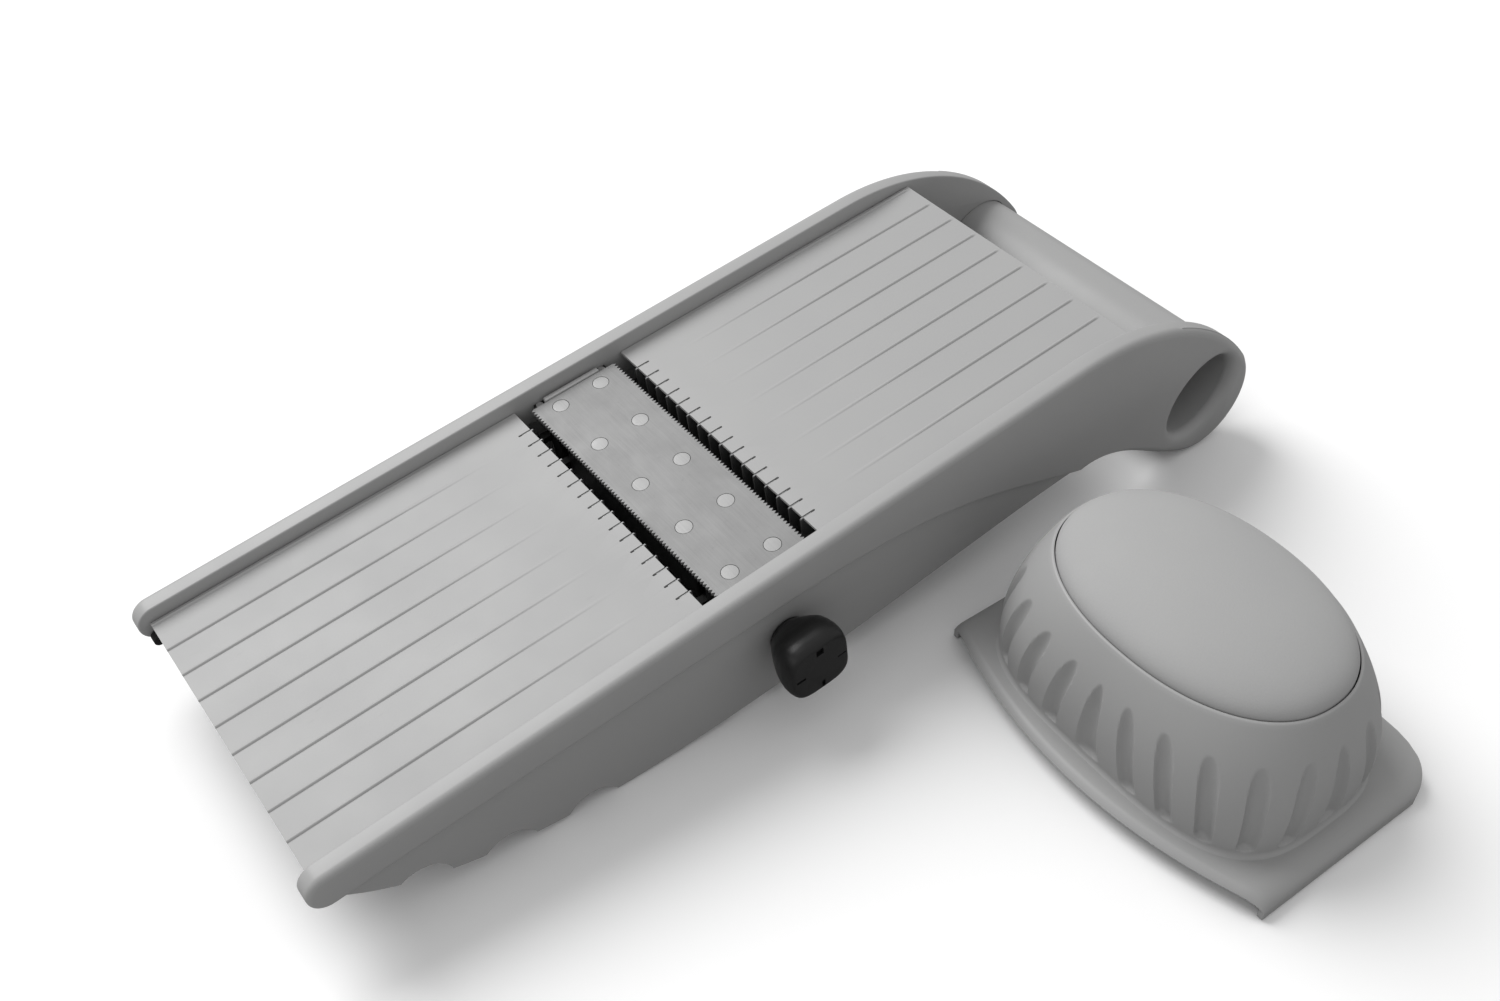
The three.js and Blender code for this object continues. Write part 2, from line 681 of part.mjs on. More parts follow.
// A closed loft through rings of equal point counts, from the lowest ring to the highest.
function loft(rings) {
  const count = rings[0].length;
  const points = rings.flat();
  const faces = [];
  rings.slice(1).forEach((_, level) => {
    for (let i = 0; i < count; i++) {
      const [a, b] = [level * count + i, level * count + ((i + 1) % count)];
      faces.push(a, b, b + count, a, b + count, a + count);
    }
  });
  const topCentre = points.length;
  const lowCentre = points.length + 1;
  const last = (rings.length - 1) * count;
  points.push([0, 0, rings[rings.length - 1][0][2]], [0, 0, rings[0][0][2]]);
  for (let i = 0; i < count; i++) {
    const next = (i + 1) % count;
    faces.push(last + i, last + next, topCentre, next, i, lowCentre);
  }
  const geometry = new THREE.BufferGeometry();
  geometry.setAttribute("position", new THREE.Float32BufferAttribute(points.flat(), 3));
  geometry.setIndex(faces);
  return solid(geometry);
}

const domeSides = 32;
const ring = (a, b, power, z) =>
  Array.from({ length: domeSides }, (_, i) => [
    ...superellipse(a, b, power, (i / domeSides) * 2 * Math.PI), z,
  ]);

// The dome wall's half sizes and squareness at a height share t, 0 at the flange and 1 at the seam
function wallRing(t, inset, z) {
  const bulge = domeBulge * 4 * t * (1 - t);
  const a = THREE.MathUtils.lerp(domeBaseWidth / 2, seamWidth / 2, t) + bulge - inset;
  const b = THREE.MathUtils.lerp(domeBaseDepth / 2, seamDepth / 2, t) + bulge - inset;
  return ring(a, b, THREE.MathUtils.lerp(3.3, 2.2, t), z);
}

function domeWall(inset, low, high) {
  const steps = 6;
  const rings = [];
  for (let i = 0; i <= steps; i++) {
    const t = i / steps;
    rings.push(wallRing(t, inset, THREE.MathUtils.lerp(low, high, t)));
  }
  return loft(rings);
}

const capPlay = 0.4;
const bridgeLow = 31;
const bridgeTopZ = bridgeLow + 3;

function guardFlange() {
  const half = guardFlangeDepth / 2;
  const lip = lipLength / 2;
  const shape = new THREE.Shape();
  shape.moveTo(-guardOuter, -lip);
  shape.quadraticCurveTo(-guardOuter * 0.55, -half, 0, -half);
  shape.quadraticCurveTo(guardOuter * 0.55, -half, guardOuter, -lip);
  shape.lineTo(guardOuter, lip - 14);
  shape.quadraticCurveTo(guardOuter * 0.8, half, 0, half);
  shape.quadraticCurveTo(-guardOuter * 0.8, half, -guardOuter, lip - 14);
  const sheet = extrudeZ(shape, guardFlangeTop - guardFlangeThickness, guardFlangeTop);
  const lips = [-1, 1].map((side) => {
    const [x0, x1] = side > 0 ? [guardInner, guardOuter] : [-guardOuter, -guardInner];
    return box(x0, x1, -lip, lip - 14, 0, guardFlangeTop - 0.5);
  });
  return join(sheet, ...lips);
}

function guardShell() {
  const outer = domeWall(0, domeBaseZ - 1, seamHeight);
  const inner = domeWall(guardWall, domeBaseZ - 6, seamHeight - guardWall);
  const mouth = loft([
    ring(seamWidth / 2 - 0.9, seamDepth / 2 - 0.9, 2.2, seamHeight - 8),
    ring(seamWidth / 2 - 0.9, seamDepth / 2 - 0.9, 2.2, seamHeight + 1),
  ]);
  const reach = seamDepth / 2 + 4;
  const beam = box(-6, 6, -reach, reach, bridgeLow, bridgeTopZ);
  const springSeat = springRadius + springWire + 1;
  const collar = turned(
    [[0, bridgeLow], [springSeat, bridgeLow], [springSeat, bridgeTopZ], [stemRadius + wall, bridgeTopZ],
      [stemRadius + wall, bridgeTopZ + 6], [0, bridgeTopZ + 6]],
    0, 0, 20,
  );
  const bore = turned(
    [[0, bridgeLow - 1], [stemRadius + running, bridgeLow - 1], [stemRadius + running, bridgeTopZ + 8],
      [0, bridgeTopZ + 8]],
    0, 0, 20,
  );
  const hollow = cut(join(outer, guardFlange()), inner, mouth);
  return cut(join(hollow, beam, collar), bore);
}

const capHalfX = seamWidth / 2 - 0.9 - capPlay;
const capHalfY = seamDepth / 2 - 0.9 - capPlay;
function capDome(inset) {
  const rise = domeHeight - seamHeight;
  const rings = [ring(capHalfX - inset, capHalfY - inset, 2.2, seamHeight - capSkirt - (inset > 0 ? 1 : 0))];
  [1, 0.94, 0.82, 0.64, 0.42, 0.18].forEach((share) => {
    const z = seamHeight - inset + rise * Math.sqrt(Math.max(0, 1 - share ** 2));
    rings.push(ring((capHalfX - inset) * share, (capHalfY - inset) * share, 2.2, z));
  });
  return loft(rings);
}

const plateTopZ = 29;
const platePad = 3;
function guardCap() {
  const shell = cut(capDome(0), capDome(guardWall));
  const stem = turned(
    [[0, plateTopZ + seat], [stemRadius, plateTopZ + seat], [stemRadius, domeHeight - guardWall / 2],
      [0, domeHeight - guardWall / 2]],
    0, 0, 20,
  );
  const [pilotRadius, pilotTop] = [screwRadius + running, plateTopZ + 9];
  const pilot = turned(
    [[0, plateTopZ - 1], [pilotRadius, plateTopZ - 1], [pilotRadius, pilotTop], [0, pilotTop]],
    0, 0, 12,
  );
  return cut(join(shell, stem), pilot);
}

// Pusher plate: an oval plate with short spikes that hold the food
function pusherPlate() {
  const low = plateTopZ - platePad;
  const plate = loft([ring(44, 29, 2.4, low), ring(44, 29, 2.4, plateTopZ)]);
  const spikes = [];
  for (const x of [-33, -16.5, 0, 16.5, 33]) {
    for (const y of [-16, 0, 16]) {
      if (x === 0 && y === 0) continue;
      spikes.push(turned([[0, low - spikeLength], [1.5, low], [1.5, low + 1], [0, low + 1]], x, y, 8));
    }
  }
  const hole = turned(
    [[0, low - 1], [3.2 + running, low - 1], [3.2 + running, low + 1.4], [screwRadius + running, low + 1.4],
      [screwRadius + running, plateTopZ + 1], [0, plateTopZ + 1]],
    0, 0, 16,
  );
  return cut(join(plate, ...spikes), hole);
}

function pusherScrew() {
  const low = plateTopZ - platePad;
  return turned(
    [[0, low], [3.2, low], [3.2, low + 1.1], [screwRadius, low + 1.1], [screwRadius, plateTopZ + 8.5],
      [0, plateTopZ + 8.5]],
    0, 0, 8,
  );
}

// Return spring between the shell's beam and the cap
class Helix extends THREE.Curve {
  constructor(radius, low, high, turns) {
    super();
    Object.assign(this, { radius, low, high, turns });
  }

  getPoint(t, target = new THREE.Vector3()) {
    const angle = t * this.turns * 2 * Math.PI;
    return target.set(
      this.radius * Math.cos(angle),
      this.radius * Math.sin(angle),
      THREE.MathUtils.lerp(this.low, this.high, t),
    );
  }
}

function pusherSpring() {
  const low = bridgeTopZ + seat + springWire / 2;
  const high = domeHeight - guardWall - 0.6 - springWire / 2;
  const section = new THREE.Shape().absarc(0, 0, springWire / 2, 0, 2 * Math.PI);
  const geometry = new THREE.ExtrudeGeometry(section, {
    steps: springTurns * 12,
    curveSegments: 3,
    bevelEnabled: false,
    extrudePath: new Helix(springRadius, low, high, springTurns),
  });
  return solid(geometry);
}

// Materials
const lightGrey = plastic(0xb9b9b7);
const plateGrey = plastic(0xbfbfbd, 0.5);
const darkPlastic = plastic(0x262626, 0.5);
const knobBlack = plastic(0x2c2c2c, 0.55);
const guardGrey = plastic(0x9c9c9a, 0.5);
const softGrey = plastic(0xa8a8a6, 0.8);
const rubberBlack = plastic(0x1c1c1c, 0.9);
const bladeSteel = steel(0xb4b4b2, 0.35);
const brightSteel = steel(0xd0d0ce, 0.3);

const slicer = new THREE.Group();
node("right_side_rail", rightRail(), lightGrey, slicer);
node("left_side_rail", mirrorX(rightRail()), lightGrey, slicer);
node("handle_grip", gripTube(), lightGrey, slicer);
node("front_runway_plate", runwayPlate(0, frontPlateLength, rodStations[0]), plateGrey, slicer);
node("rear_runway_plate", runwayPlate(rearPlateEnd, rearPlateStart, rodStations[1]), plateGrey, slicer);
node("front_hinge_rod", hingeRod(rodStations[0]), brightSteel, slicer);
node("rear_hinge_rod", hingeRod(rodStations[1]), brightSteel, slicer);
node("blade", blade(), bladeSteel, slicer);
node("blade_bridge", bridge(), darkPlastic, slicer);
node("blade_end_clip", bladeEndClip(), lightGrey, slicer);
rivetXs.forEach((x, i) => {
  rivetYs.forEach((y, row) => {
    node(`blade_rivet_${1 + i + row * rivetsPerRow}`, rivet(x, y), brightSteel, slicer);
  });
});
[-1, 1].forEach((side) => {
  const hand = side < 0 ? "left" : "right";
  screwYs().forEach((y, i) => {
    const place = i === 0 ? "front" : "rear";
    node(`bridge_screw_${hand}_${place}`, bridgeScrew(side * bridgeScrewX, y), brightSteel, slicer);
  });
  braceStations.forEach((y, i) => {
    const place = i === 0 ? "front" : "rear";
    node(`brace_screw_${hand}_${place}`, braceScrew(side, y), brightSteel, slicer);
  });
  node(`${hand}_tip_foot`, tipFoot(side), rubberBlack, slicer);
  node(`${hand}_shaft_bush`, shaftBush(side), darkPlastic, slicer);
  const dropCam = cam(side * dropCamX, dropCamRadius, dropCamRadius - plateDrop);
  const combCam = cam(side * combCamX, combCamRadius, combCamRadius + combLift);
  node(`${hand}_drop_cam`, dropCam, darkPlastic, slicer);
  node(`${hand}_comb_cam`, combCam, darkPlastic, slicer);
});
node("front_cross_brace", crossBrace(braceStations[0]), darkPlastic, slicer);
node("rear_cross_brace", crossBrace(braceStations[1]), darkPlastic, slicer);
node("selector_shaft", shaft(), brightSteel, slicer);
node("selector_knob", knob(), knobBlack, slicer);
node("index_wheel", indexWheel(), darkPlastic, slicer);
node("detent_spring", detentSpring(), brightSteel, slicer);
node("shaft_retaining_ring", retainingRing(), brightSteel, slicer);
node("height_carriage", heightCarriage(), darkPlastic, slicer);
node("comb_carriage", combCarriage(), darkPlastic, slicer);
node("front_julienne_comb", steelComb(frontCombY), bladeSteel, slicer);
node("rear_julienne_comb", steelComb(rearCombY), bladeSteel, slicer);

// The slicer stands on its two lobes and on the low front of its skirts.
const restY = 92;
const restZ = 2.7 - skirtDepth;
const lobeLow = -lobeDrop - lobeRadius;
const tilt = Math.atan2(restZ - lobeLow, lobeY - restY);
slicer.rotation.x = tilt;

const guard = new THREE.Group();
node("guard_shell", guardShell(), guardGrey, guard);
node("guard_cap", guardCap(), softGrey, guard);
node("pusher_plate", pusherPlate(), darkPlastic, guard);
node("pusher_screw", pusherScrew(), brightSteel, guard);
node("pusher_spring", pusherSpring(), brightSteel, guard);
guard.rotation.z = guardYaw;

// The part's origin is the middle of the footprint, on the worktop.
const part = new THREE.Group();
part.add(slicer, guard);
part.updateMatrixWorld(true);
const slicerBox = new THREE.Box3().setFromObject(slicer, true);
slicer.position.z = -slicerBox.min.z;
guard.position.set(guardOffset, guardStation, 0);
part.updateMatrixWorld(true);
const whole = new THREE.Box3().setFromObject(part, true);
const centre = whole.getCenter(new THREE.Vector3());
part.position.set(-centre.x, -centre.y, 0);

export default part;
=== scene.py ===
# Mandoline slicer and its hand guard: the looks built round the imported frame.
import json
import math

import bpy
from mathutils import Matrix, Vector


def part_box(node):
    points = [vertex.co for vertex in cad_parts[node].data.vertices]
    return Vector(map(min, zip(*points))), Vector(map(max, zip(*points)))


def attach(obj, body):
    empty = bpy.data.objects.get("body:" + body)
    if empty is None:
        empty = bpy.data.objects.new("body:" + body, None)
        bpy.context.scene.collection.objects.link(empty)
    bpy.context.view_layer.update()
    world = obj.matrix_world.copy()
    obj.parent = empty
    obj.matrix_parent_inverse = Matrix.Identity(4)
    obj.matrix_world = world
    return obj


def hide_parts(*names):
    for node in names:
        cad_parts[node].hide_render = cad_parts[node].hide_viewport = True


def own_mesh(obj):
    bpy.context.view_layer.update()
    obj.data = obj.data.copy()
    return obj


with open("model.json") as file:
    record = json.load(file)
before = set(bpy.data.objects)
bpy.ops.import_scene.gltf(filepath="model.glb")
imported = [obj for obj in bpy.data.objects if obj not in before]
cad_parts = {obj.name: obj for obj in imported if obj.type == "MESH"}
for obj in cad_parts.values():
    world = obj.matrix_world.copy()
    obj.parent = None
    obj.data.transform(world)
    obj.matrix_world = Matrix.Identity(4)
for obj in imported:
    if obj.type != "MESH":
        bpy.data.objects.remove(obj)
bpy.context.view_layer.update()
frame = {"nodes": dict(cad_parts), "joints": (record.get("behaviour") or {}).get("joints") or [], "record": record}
joints = {joint["name"]: joint for joint in frame["joints"]}


def middleOf(node):
    low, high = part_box(node)
    return (low + high) / 2


# The slicer leans back on its lobes. Its own frame has x across the runway, y from the near end
# and z up from the plates, in millimetres. The blade's middle says where that frame lies.
slicer = {
    "bladeMiddle": (0.0, 160.6, -0.4), "runwayHalf": 59.0, "windowStart": 138.0, "windowEnd": 183.2,
    "runwayEnd": 318.2,
}
leanAxis = joints["comb_lift"]["axis"]
lean = Matrix.Rotation(math.atan2(-leanAxis[1], leanAxis[2]), 4, "X")
millimetre = Matrix.Scale(0.001, 4)
leaning = lean @ millimetre
slicerPlace = Matrix.Translation(middleOf("blade") - leaning @ Vector(slicer["bladeMiddle"])) @ leaning
guardTurn = math.radians(-1)
guardMiddle = middleOf("pusher_screw")
guardPlace = (
    Matrix.Translation((guardMiddle.x, guardMiddle.y, 0)) @ Matrix.Rotation(guardTurn, 4, "Z") @ millimetre
)


# Small tools for modelling.
def deselectAll():
    if bpy.context.object and bpy.context.object.mode != "OBJECT":
        bpy.ops.object.mode_set(mode="OBJECT")
    bpy.ops.object.select_all(action="DESELECT")


def pick(piece):
    deselectAll()
    piece.select_set(True)
    bpy.context.view_layer.objects.active = piece


def editAll(piece, kind="VERT"):
    pick(piece)
    bpy.ops.object.mode_set(mode="EDIT")
    bpy.ops.mesh.select_mode(type=kind)
    bpy.ops.mesh.select_all(action="SELECT")


def leaveEdit():
    bpy.ops.object.mode_set(mode="OBJECT")


def mendNormals(piece):
    editAll(piece)
    bpy.ops.mesh.remove_doubles(threshold=0.002)
    bpy.ops.mesh.normals_make_consistent(inside=False)
    leaveEdit()


# outline points are (y, z) for axis x and (x, y) for axis z
def slabFrom(name, outline, axis, low, high):
    deselectAll()
    bpy.ops.mesh.primitive_circle_add(vertices=len(outline), radius=1, fill_type="NGON")
    piece = bpy.context.object
    piece.name = name
    for vertex, (a, b) in zip(piece.data.vertices, outline):
        vertex.co = (low, a, b) if axis == "x" else (a, b, low)
    editAll(piece, "FACE")
    rise = (high - low, 0, 0) if axis == "x" else (0, 0, high - low)
    bpy.ops.mesh.extrude_region_move(TRANSFORM_OT_translate={"value": rise})
    bpy.ops.mesh.select_all(action="SELECT")
    bpy.ops.mesh.normals_make_consistent(inside=False)
    leaveEdit()
    return piece


def blockFrom(name, low, high):
    deselectAll()
    bpy.ops.mesh.primitive_cube_add(size=1, location=[(a + b) / 2 for a, b in zip(low, high)])
    piece = bpy.context.object
    piece.name = name
    piece.scale = [b - a for a, b in zip(low, high)]
    bpy.ops.object.transform_apply(location=True, rotation=True, scale=True)
    return piece


# a round bar along x at (y, z) or along z at (x, y)
def drumFrom(name, axis, radius, low, high, a, b, sides=48):
    deselectAll()
    middle = (low + high) / 2
    spot = (middle, a, b) if axis == "x" else (a, b, middle)
    turn = (0, math.pi / 2, 0) if axis == "x" else (0, 0, 0)
    bpy.ops.mesh.primitive_cylinder_add(
        vertices=sides, radius=radius, depth=high - low, location=spot, rotation=turn
    )
    piece = bpy.context.object
    piece.name = name
    bpy.ops.object.transform_apply(location=True, rotation=True, scale=True)
    return piece


# a grid whose (u, v) points go to spotAt(u, v), sewn up along u and filled at its ends
def wrapGrid(name, across, along, spotAt, closed=True, capped=True):
    deselectAll()
    bpy.ops.mesh.primitive_grid_add(x_subdivisions=across, y_subdivisions=along, size=2)
    piece = bpy.context.object
    piece.name = name
    for vertex in piece.data.vertices:
        u, v = (vertex.co.x + 1) / 2, (vertex.co.y + 1) / 2
        vertex.co = spotAt(u % 1 if closed and u > 0.99999 else u, v)
    editAll(piece)
    bpy.ops.mesh.remove_doubles(threshold=0.002)
    if capped:
        bpy.ops.mesh.select_all(action="DESELECT")
        bpy.ops.mesh.select_non_manifold(extend=False, use_boundary=True, use_wire=False)
        bpy.ops.mesh.fill_holes(sides=0)
    bpy.ops.mesh.select_all(action="SELECT")
    bpy.ops.mesh.normals_make_consistent(inside=False)
    leaveEdit()
    return piece


def useModifier(piece, kind, **values):
    pick(piece)
    modifier = piece.modifiers.new(kind.title(), kind)
    for key, value in values.items():
        setattr(modifier, key, value)
    bpy.ops.object.modifier_apply(modifier=modifier.name)


def withTool(piece, tool, how):
    useModifier(piece, "BOOLEAN", operation=how, solver="EXACT", object=tool)
    bpy.data.objects.remove(tool)
    return piece


def joinAll(pieces, name):
    deselectAll()
    for piece in pieces:
        piece.select_set(True)
    bpy.context.view_layer.objects.active = pieces[0]
    bpy.ops.object.join()
    pieces[0].name = name
    return pieces[0]


def softEdges(piece, width, segments=2, angle=40):
    useModifier(
        piece, "BEVEL", width=width, segments=segments, limit_method="ANGLE",
        angle_limit=math.radians(angle), use_clamp_overlap=True, harden_normals=False,
    )


def copyOf(piece, name, move=(0, 0, 0)):
    twin = piece.copy()
    twin.data = piece.data.copy()
    twin.name = name
    bpy.context.scene.collection.objects.link(twin)
    twin.data.transform(Matrix.Translation(move))
    return twin


def mirrored(piece, name):
    twin = copyOf(piece, name)
    twin.data.transform(Matrix.Scale(-1, 4, (1, 0, 0)))
    editAll(twin, "FACE")
    bpy.ops.mesh.flip_normals()
    leaveEdit()
    return twin


def finishPiece(piece, place, body, material, nodes=(), angle=35):
    piece.data.transform(place)
    pick(piece)
    bpy.ops.object.shade_smooth_by_angle(angle=math.radians(angle))
    piece.data.materials.clear()
    piece.data.materials.append(material)
    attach(piece, body)
    if nodes:
        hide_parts(*nodes)
    return piece


# from start to end in degrees, the last point left out
def arcPoints(y, z, radius, start, end, count):
    angles = [math.radians(start + (end - start) * i / count) for i in range(count)]
    return [(y + radius * math.cos(a), z + radius * math.sin(a)) for a in angles]


# a cubic curve, the last point left out
def curvePoints(p, q, r, s, count):
    points = []
    for i in range(count):
        t = i / count
        w = ((1 - t) ** 3, 3 * t * (1 - t) ** 2, 3 * t * t * (1 - t), t ** 3)
        points.append(tuple(sum(wk * k[n] for wk, k in zip(w, (p, q, r, s))) for n in (0, 1)))
    return points


def linePoints(p, q, count):
    return [(p[0] + (q[0] - p[0]) * i / count, p[1] + (q[1] - p[1]) * i / count) for i in range(count)]


# a point of the grip's oval, at the share u of a full turn and widened by grow
def ovalSpot(u, grow):
    (y, z), (long, short), turn = rail["grip"], rail["gripHole"], rail["gripTurn"]
    p, q = (long + grow) * math.cos(2 * math.pi * u), (short + grow) * math.sin(2 * math.pi * u)
    return y + p * math.cos(turn) - q * math.sin(turn), z + p * math.sin(turn) + q * math.cos(turn)


# Materials.
def link(tree, a, b):
    tree.links.new(a, b)


def newGroup(name, inputs, outputs):
    group = bpy.data.node_groups.new(name, "ShaderNodeTree")
    for label, kind, default in inputs:
        socket = group.interface.new_socket(name=label, in_out="INPUT", socket_type=kind)
        socket.default_value = default
    for label, kind in outputs:
        group.interface.new_socket(name=label, in_out="OUTPUT", socket_type=kind)
    return group, group.nodes.new("NodeGroupInput"), group.nodes.new("NodeGroupOutput")


def mathNode(tree, how, a, b=None, clamp=False):
    node = tree.nodes.new("ShaderNodeMath")
    node.operation = how
    node.use_clamp = clamp
    for socket, value in zip(node.inputs, (a, b)):
        if value is None:
            continue
        if isinstance(value, (int, float)):
            socket.default_value = value
        else:
            link(tree, value, socket)
    return node.outputs[0]


def noiseNode(tree, coordinates, scale, detail=2.0, roughness=0.5):
    node = tree.nodes.new("ShaderNodeTexNoise")
    link(tree, coordinates, node.inputs["Vector"])
    if isinstance(scale, (int, float)):
        node.inputs["Scale"].default_value = scale
    else:
        link(tree, scale, node.inputs["Scale"])
    node.inputs["Detail"].default_value = detail
    node.inputs["Roughness"].default_value = roughness
    return node.outputs["Fac"]


def mixColours(tree, share, a, b, how="MIX"):
    node = tree.nodes.new("ShaderNodeMix")
    node.data_type = "RGBA"
    node.blend_type = how
    for socket, value in ((node.inputs[0], share), (node.inputs[6], a), (node.inputs[7], b)):
        if isinstance(value, (int, float, tuple)):
            socket.default_value = value
        else:
            link(tree, value, socket)
    return node.outputs[2]


def mapNode(tree, value, low, high, newLow, newHigh):
    node = tree.nodes.new("ShaderNodeMapRange")
    link(tree, value, node.inputs[0])
    for socket, number in zip(node.inputs[1:5], (low, high, newLow, newHigh)):
        socket.default_value = number
    return node.outputs[0]


# moulded plastic: cloudy tone, fine grain, a few faint scuffs and lighter worn edges
def mouldedGroup():
    group, given, result = newGroup(
        "mouldedPlastic",
        [
            ("Colour", "NodeSocketColor", (0.5, 0.5, 0.5, 1)), ("Vector", "NodeSocketVector", (0, 0, 0)),
            ("Grain size", "NodeSocketFloat", 2500.0), ("Roughness", "NodeSocketFloat", 0.45),
            ("Edge wear", "NodeSocketFloat", 0.3), ("Scuffs", "NodeSocketFloat", 0.4),
        ],
        [("Colour", "NodeSocketColor"), ("Roughness", "NodeSocketFloat"), ("Height", "NodeSocketFloat")],
    )
    where = given.outputs["Vector"]
    clouds = noiseNode(group, where, 28.0, 3.0, 0.55)
    grain = noiseNode(group, where, given.outputs["Grain size"], 2.0, 0.6)
    stretch = group.nodes.new("ShaderNodeMapping")
    stretch.inputs["Scale"].default_value = (900, 60, 900)
    stretch.inputs["Rotation"].default_value = (0, 0, 0.5)
    link(group, where, stretch.inputs["Vector"])
    scuffLines = noiseNode(group, stretch.outputs[0], 1.0, 2.0, 0.6)
    scuffPatches = noiseNode(group, where, 45.0, 1.0, 0.5)
    scuffLines = mapNode(group, scuffLines, 0.66, 0.8, 0, 1)
    scuffs = mathNode(group, "MULTIPLY", scuffLines, mapNode(group, scuffPatches, 0.55, 0.75, 0, 1))
    scuffs = mathNode(group, "MULTIPLY", scuffs, given.outputs["Scuffs"])
    shape = group.nodes.new("ShaderNodeNewGeometry")
    edges = mapNode(group, shape.outputs["Pointiness"], 0.54, 0.62, 0, 1)
    edges = mathNode(group, "MULTIPLY", edges, mapNode(group, clouds, 0.35, 0.65, 0.3, 1))
    edges = mathNode(group, "MULTIPLY", edges, given.outputs["Edge wear"])
    cloudy, grainy = mapNode(group, clouds, 0.3, 0.7, 0, 0.5), mapNode(group, grain, 0.3, 0.7, 0, 0.35)
    toned = mixColours(group, cloudy, given.outputs["Colour"], (0.94, 0.94, 0.95, 1), "MULTIPLY")
    toned = mixColours(group, grainy, toned, (0.93, 0.93, 0.93, 1), "MULTIPLY")
    toned = mixColours(group, scuffs, toned, (0.82, 0.82, 0.82, 1), "MULTIPLY")
    toned = mixColours(group, edges, toned, (1.25, 1.25, 1.25, 1), "MULTIPLY")
    link(group, toned, result.inputs["Colour"])
    rough = mathNode(group, "ADD", given.outputs["Roughness"], mapNode(group, clouds, 0.3, 0.7, -0.04, 0.05))
    rough = mathNode(group, "ADD", rough, mathNode(group, "MULTIPLY", scuffs, 0.2))
    rough = mathNode(group, "SUBTRACT", rough, mathNode(group, "MULTIPLY", edges, 0.1), clamp=True)
    link(group, rough, result.inputs["Roughness"])
    height = mathNode(group, "SUBTRACT", grain, mathNode(group, "MULTIPLY", scuffs, 0.6))
    link(group, height, result.inputs["Height"])
    return group


# brushed or ground steel: fine lines along one axis, patchy sheen and small handling marks
def steelGroup():
    group, given, result = newGroup(
        "groundSteel",
        [
            ("Colour", "NodeSocketColor", (0.6, 0.6, 0.6, 1)), ("Vector", "NodeSocketVector", (0, 0, 0)),
            ("Roughness", "NodeSocketFloat", 0.35), ("Marks", "NodeSocketFloat", 0.4),
        ],
        [("Colour", "NodeSocketColor"), ("Roughness", "NodeSocketFloat"), ("Height", "NodeSocketFloat")],
    )
    lines = group.nodes.new("ShaderNodeMapping")
    lines.inputs["Scale"].default_value = (60, 5200, 5200)
    link(group, given.outputs["Vector"], lines.inputs["Vector"])
    brushed = noiseNode(group, lines.outputs[0], 1.0, 3.0, 0.7)
    patches = noiseNode(group, given.outputs["Vector"], 70.0, 3.0, 0.6)
    specks = noiseNode(group, given.outputs["Vector"], 700.0, 1.0, 0.5)
    marks = mathNode(group, "MULTIPLY", mapNode(group, specks, 0.68, 0.74, 0, 1), given.outputs["Marks"])
    streaks, sheen = mapNode(group, brushed, 0.25, 0.75, 0, 1), mapNode(group, patches, 0.35, 0.7, 0, 0.6)
    toned = mixColours(group, streaks, given.outputs["Colour"], (0.9, 0.9, 0.91, 1), "MULTIPLY")
    toned = mixColours(group, sheen, toned, (0.95, 0.95, 0.95, 1), "MULTIPLY")
    toned = mixColours(group, marks, toned, (0.75, 0.75, 0.75, 1), "MULTIPLY")
    link(group, toned, result.inputs["Colour"])
    lineRough = mapNode(group, brushed, 0.25, 0.75, -0.06, 0.08)
    patchRough = mapNode(group, patches, 0.35, 0.7, -0.03, 0.06)
    rough = mathNode(group, "ADD", given.outputs["Roughness"], lineRough)
    rough = mathNode(group, "ADD", rough, patchRough, clamp=True)
    link(group, rough, result.inputs["Roughness"])
    link(group, mathNode(group, "SUBTRACT", brushed, marks), result.inputs["Height"])
    return group


moulded = mouldedGroup()
ground = steelGroup()


# a material whose colour, roughness and bump come from one of the two groups
def surfaceOf(name, group, bumpDepth, given, specular=0.5, metal=0.0, sheen=0.0):
    material = bpy.data.materials.new(name)
    material.use_nodes = True
    tree = material.node_tree
    shader = tree.nodes["Principled BSDF"]
    where = tree.nodes.new("ShaderNodeTexCoord").outputs["Object"]
    effect = tree.nodes.new("ShaderNodeGroup")
    effect.node_tree = group
    link(tree, where, effect.inputs["Vector"])
    for label, value in given.items():
        effect.inputs[label].default_value = value
    bump = tree.nodes.new("ShaderNodeBump")
    bump.inputs["Strength"].default_value = 1.0
    bump.inputs["Distance"].default_value = bumpDepth
    link(tree, effect.outputs["Height"], bump.inputs["Height"])
    link(tree, bump.outputs["Normal"], shader.inputs["Normal"])
    link(tree, effect.outputs["Colour"], shader.inputs["Base Color"])
    link(tree, effect.outputs["Roughness"], shader.inputs["Roughness"])
    shader.inputs["Specular IOR Level"].default_value = specular
    shader.inputs["Metallic"].default_value = metal
    shader.inputs["Sheen Weight"].default_value = sheen
    shader.inputs["Sheen Roughness"].default_value = 0.5
    return material


def plasticOf(
    name, colour, roughness, grainSize, grainDepth, specular=0.4, edgeWear=0.3, scuffs=0.4, sheen=0.0
):
    given = {
        "Colour": (*colour, 1), "Grain size": grainSize, "Roughness": roughness, "Edge wear": edgeWear,
        "Scuffs": scuffs,
    }
    return surfaceOf(name, moulded, grainDepth, given, specular=specular, sheen=sheen)


def steelOf(name, colour, roughness, lineDepth, marks=0.4, metal=1.0):
    given = {"Colour": (*colour, 1), "Roughness": roughness, "Marks": marks}
    return surfaceOf(name, ground, lineDepth, given, metal=metal)


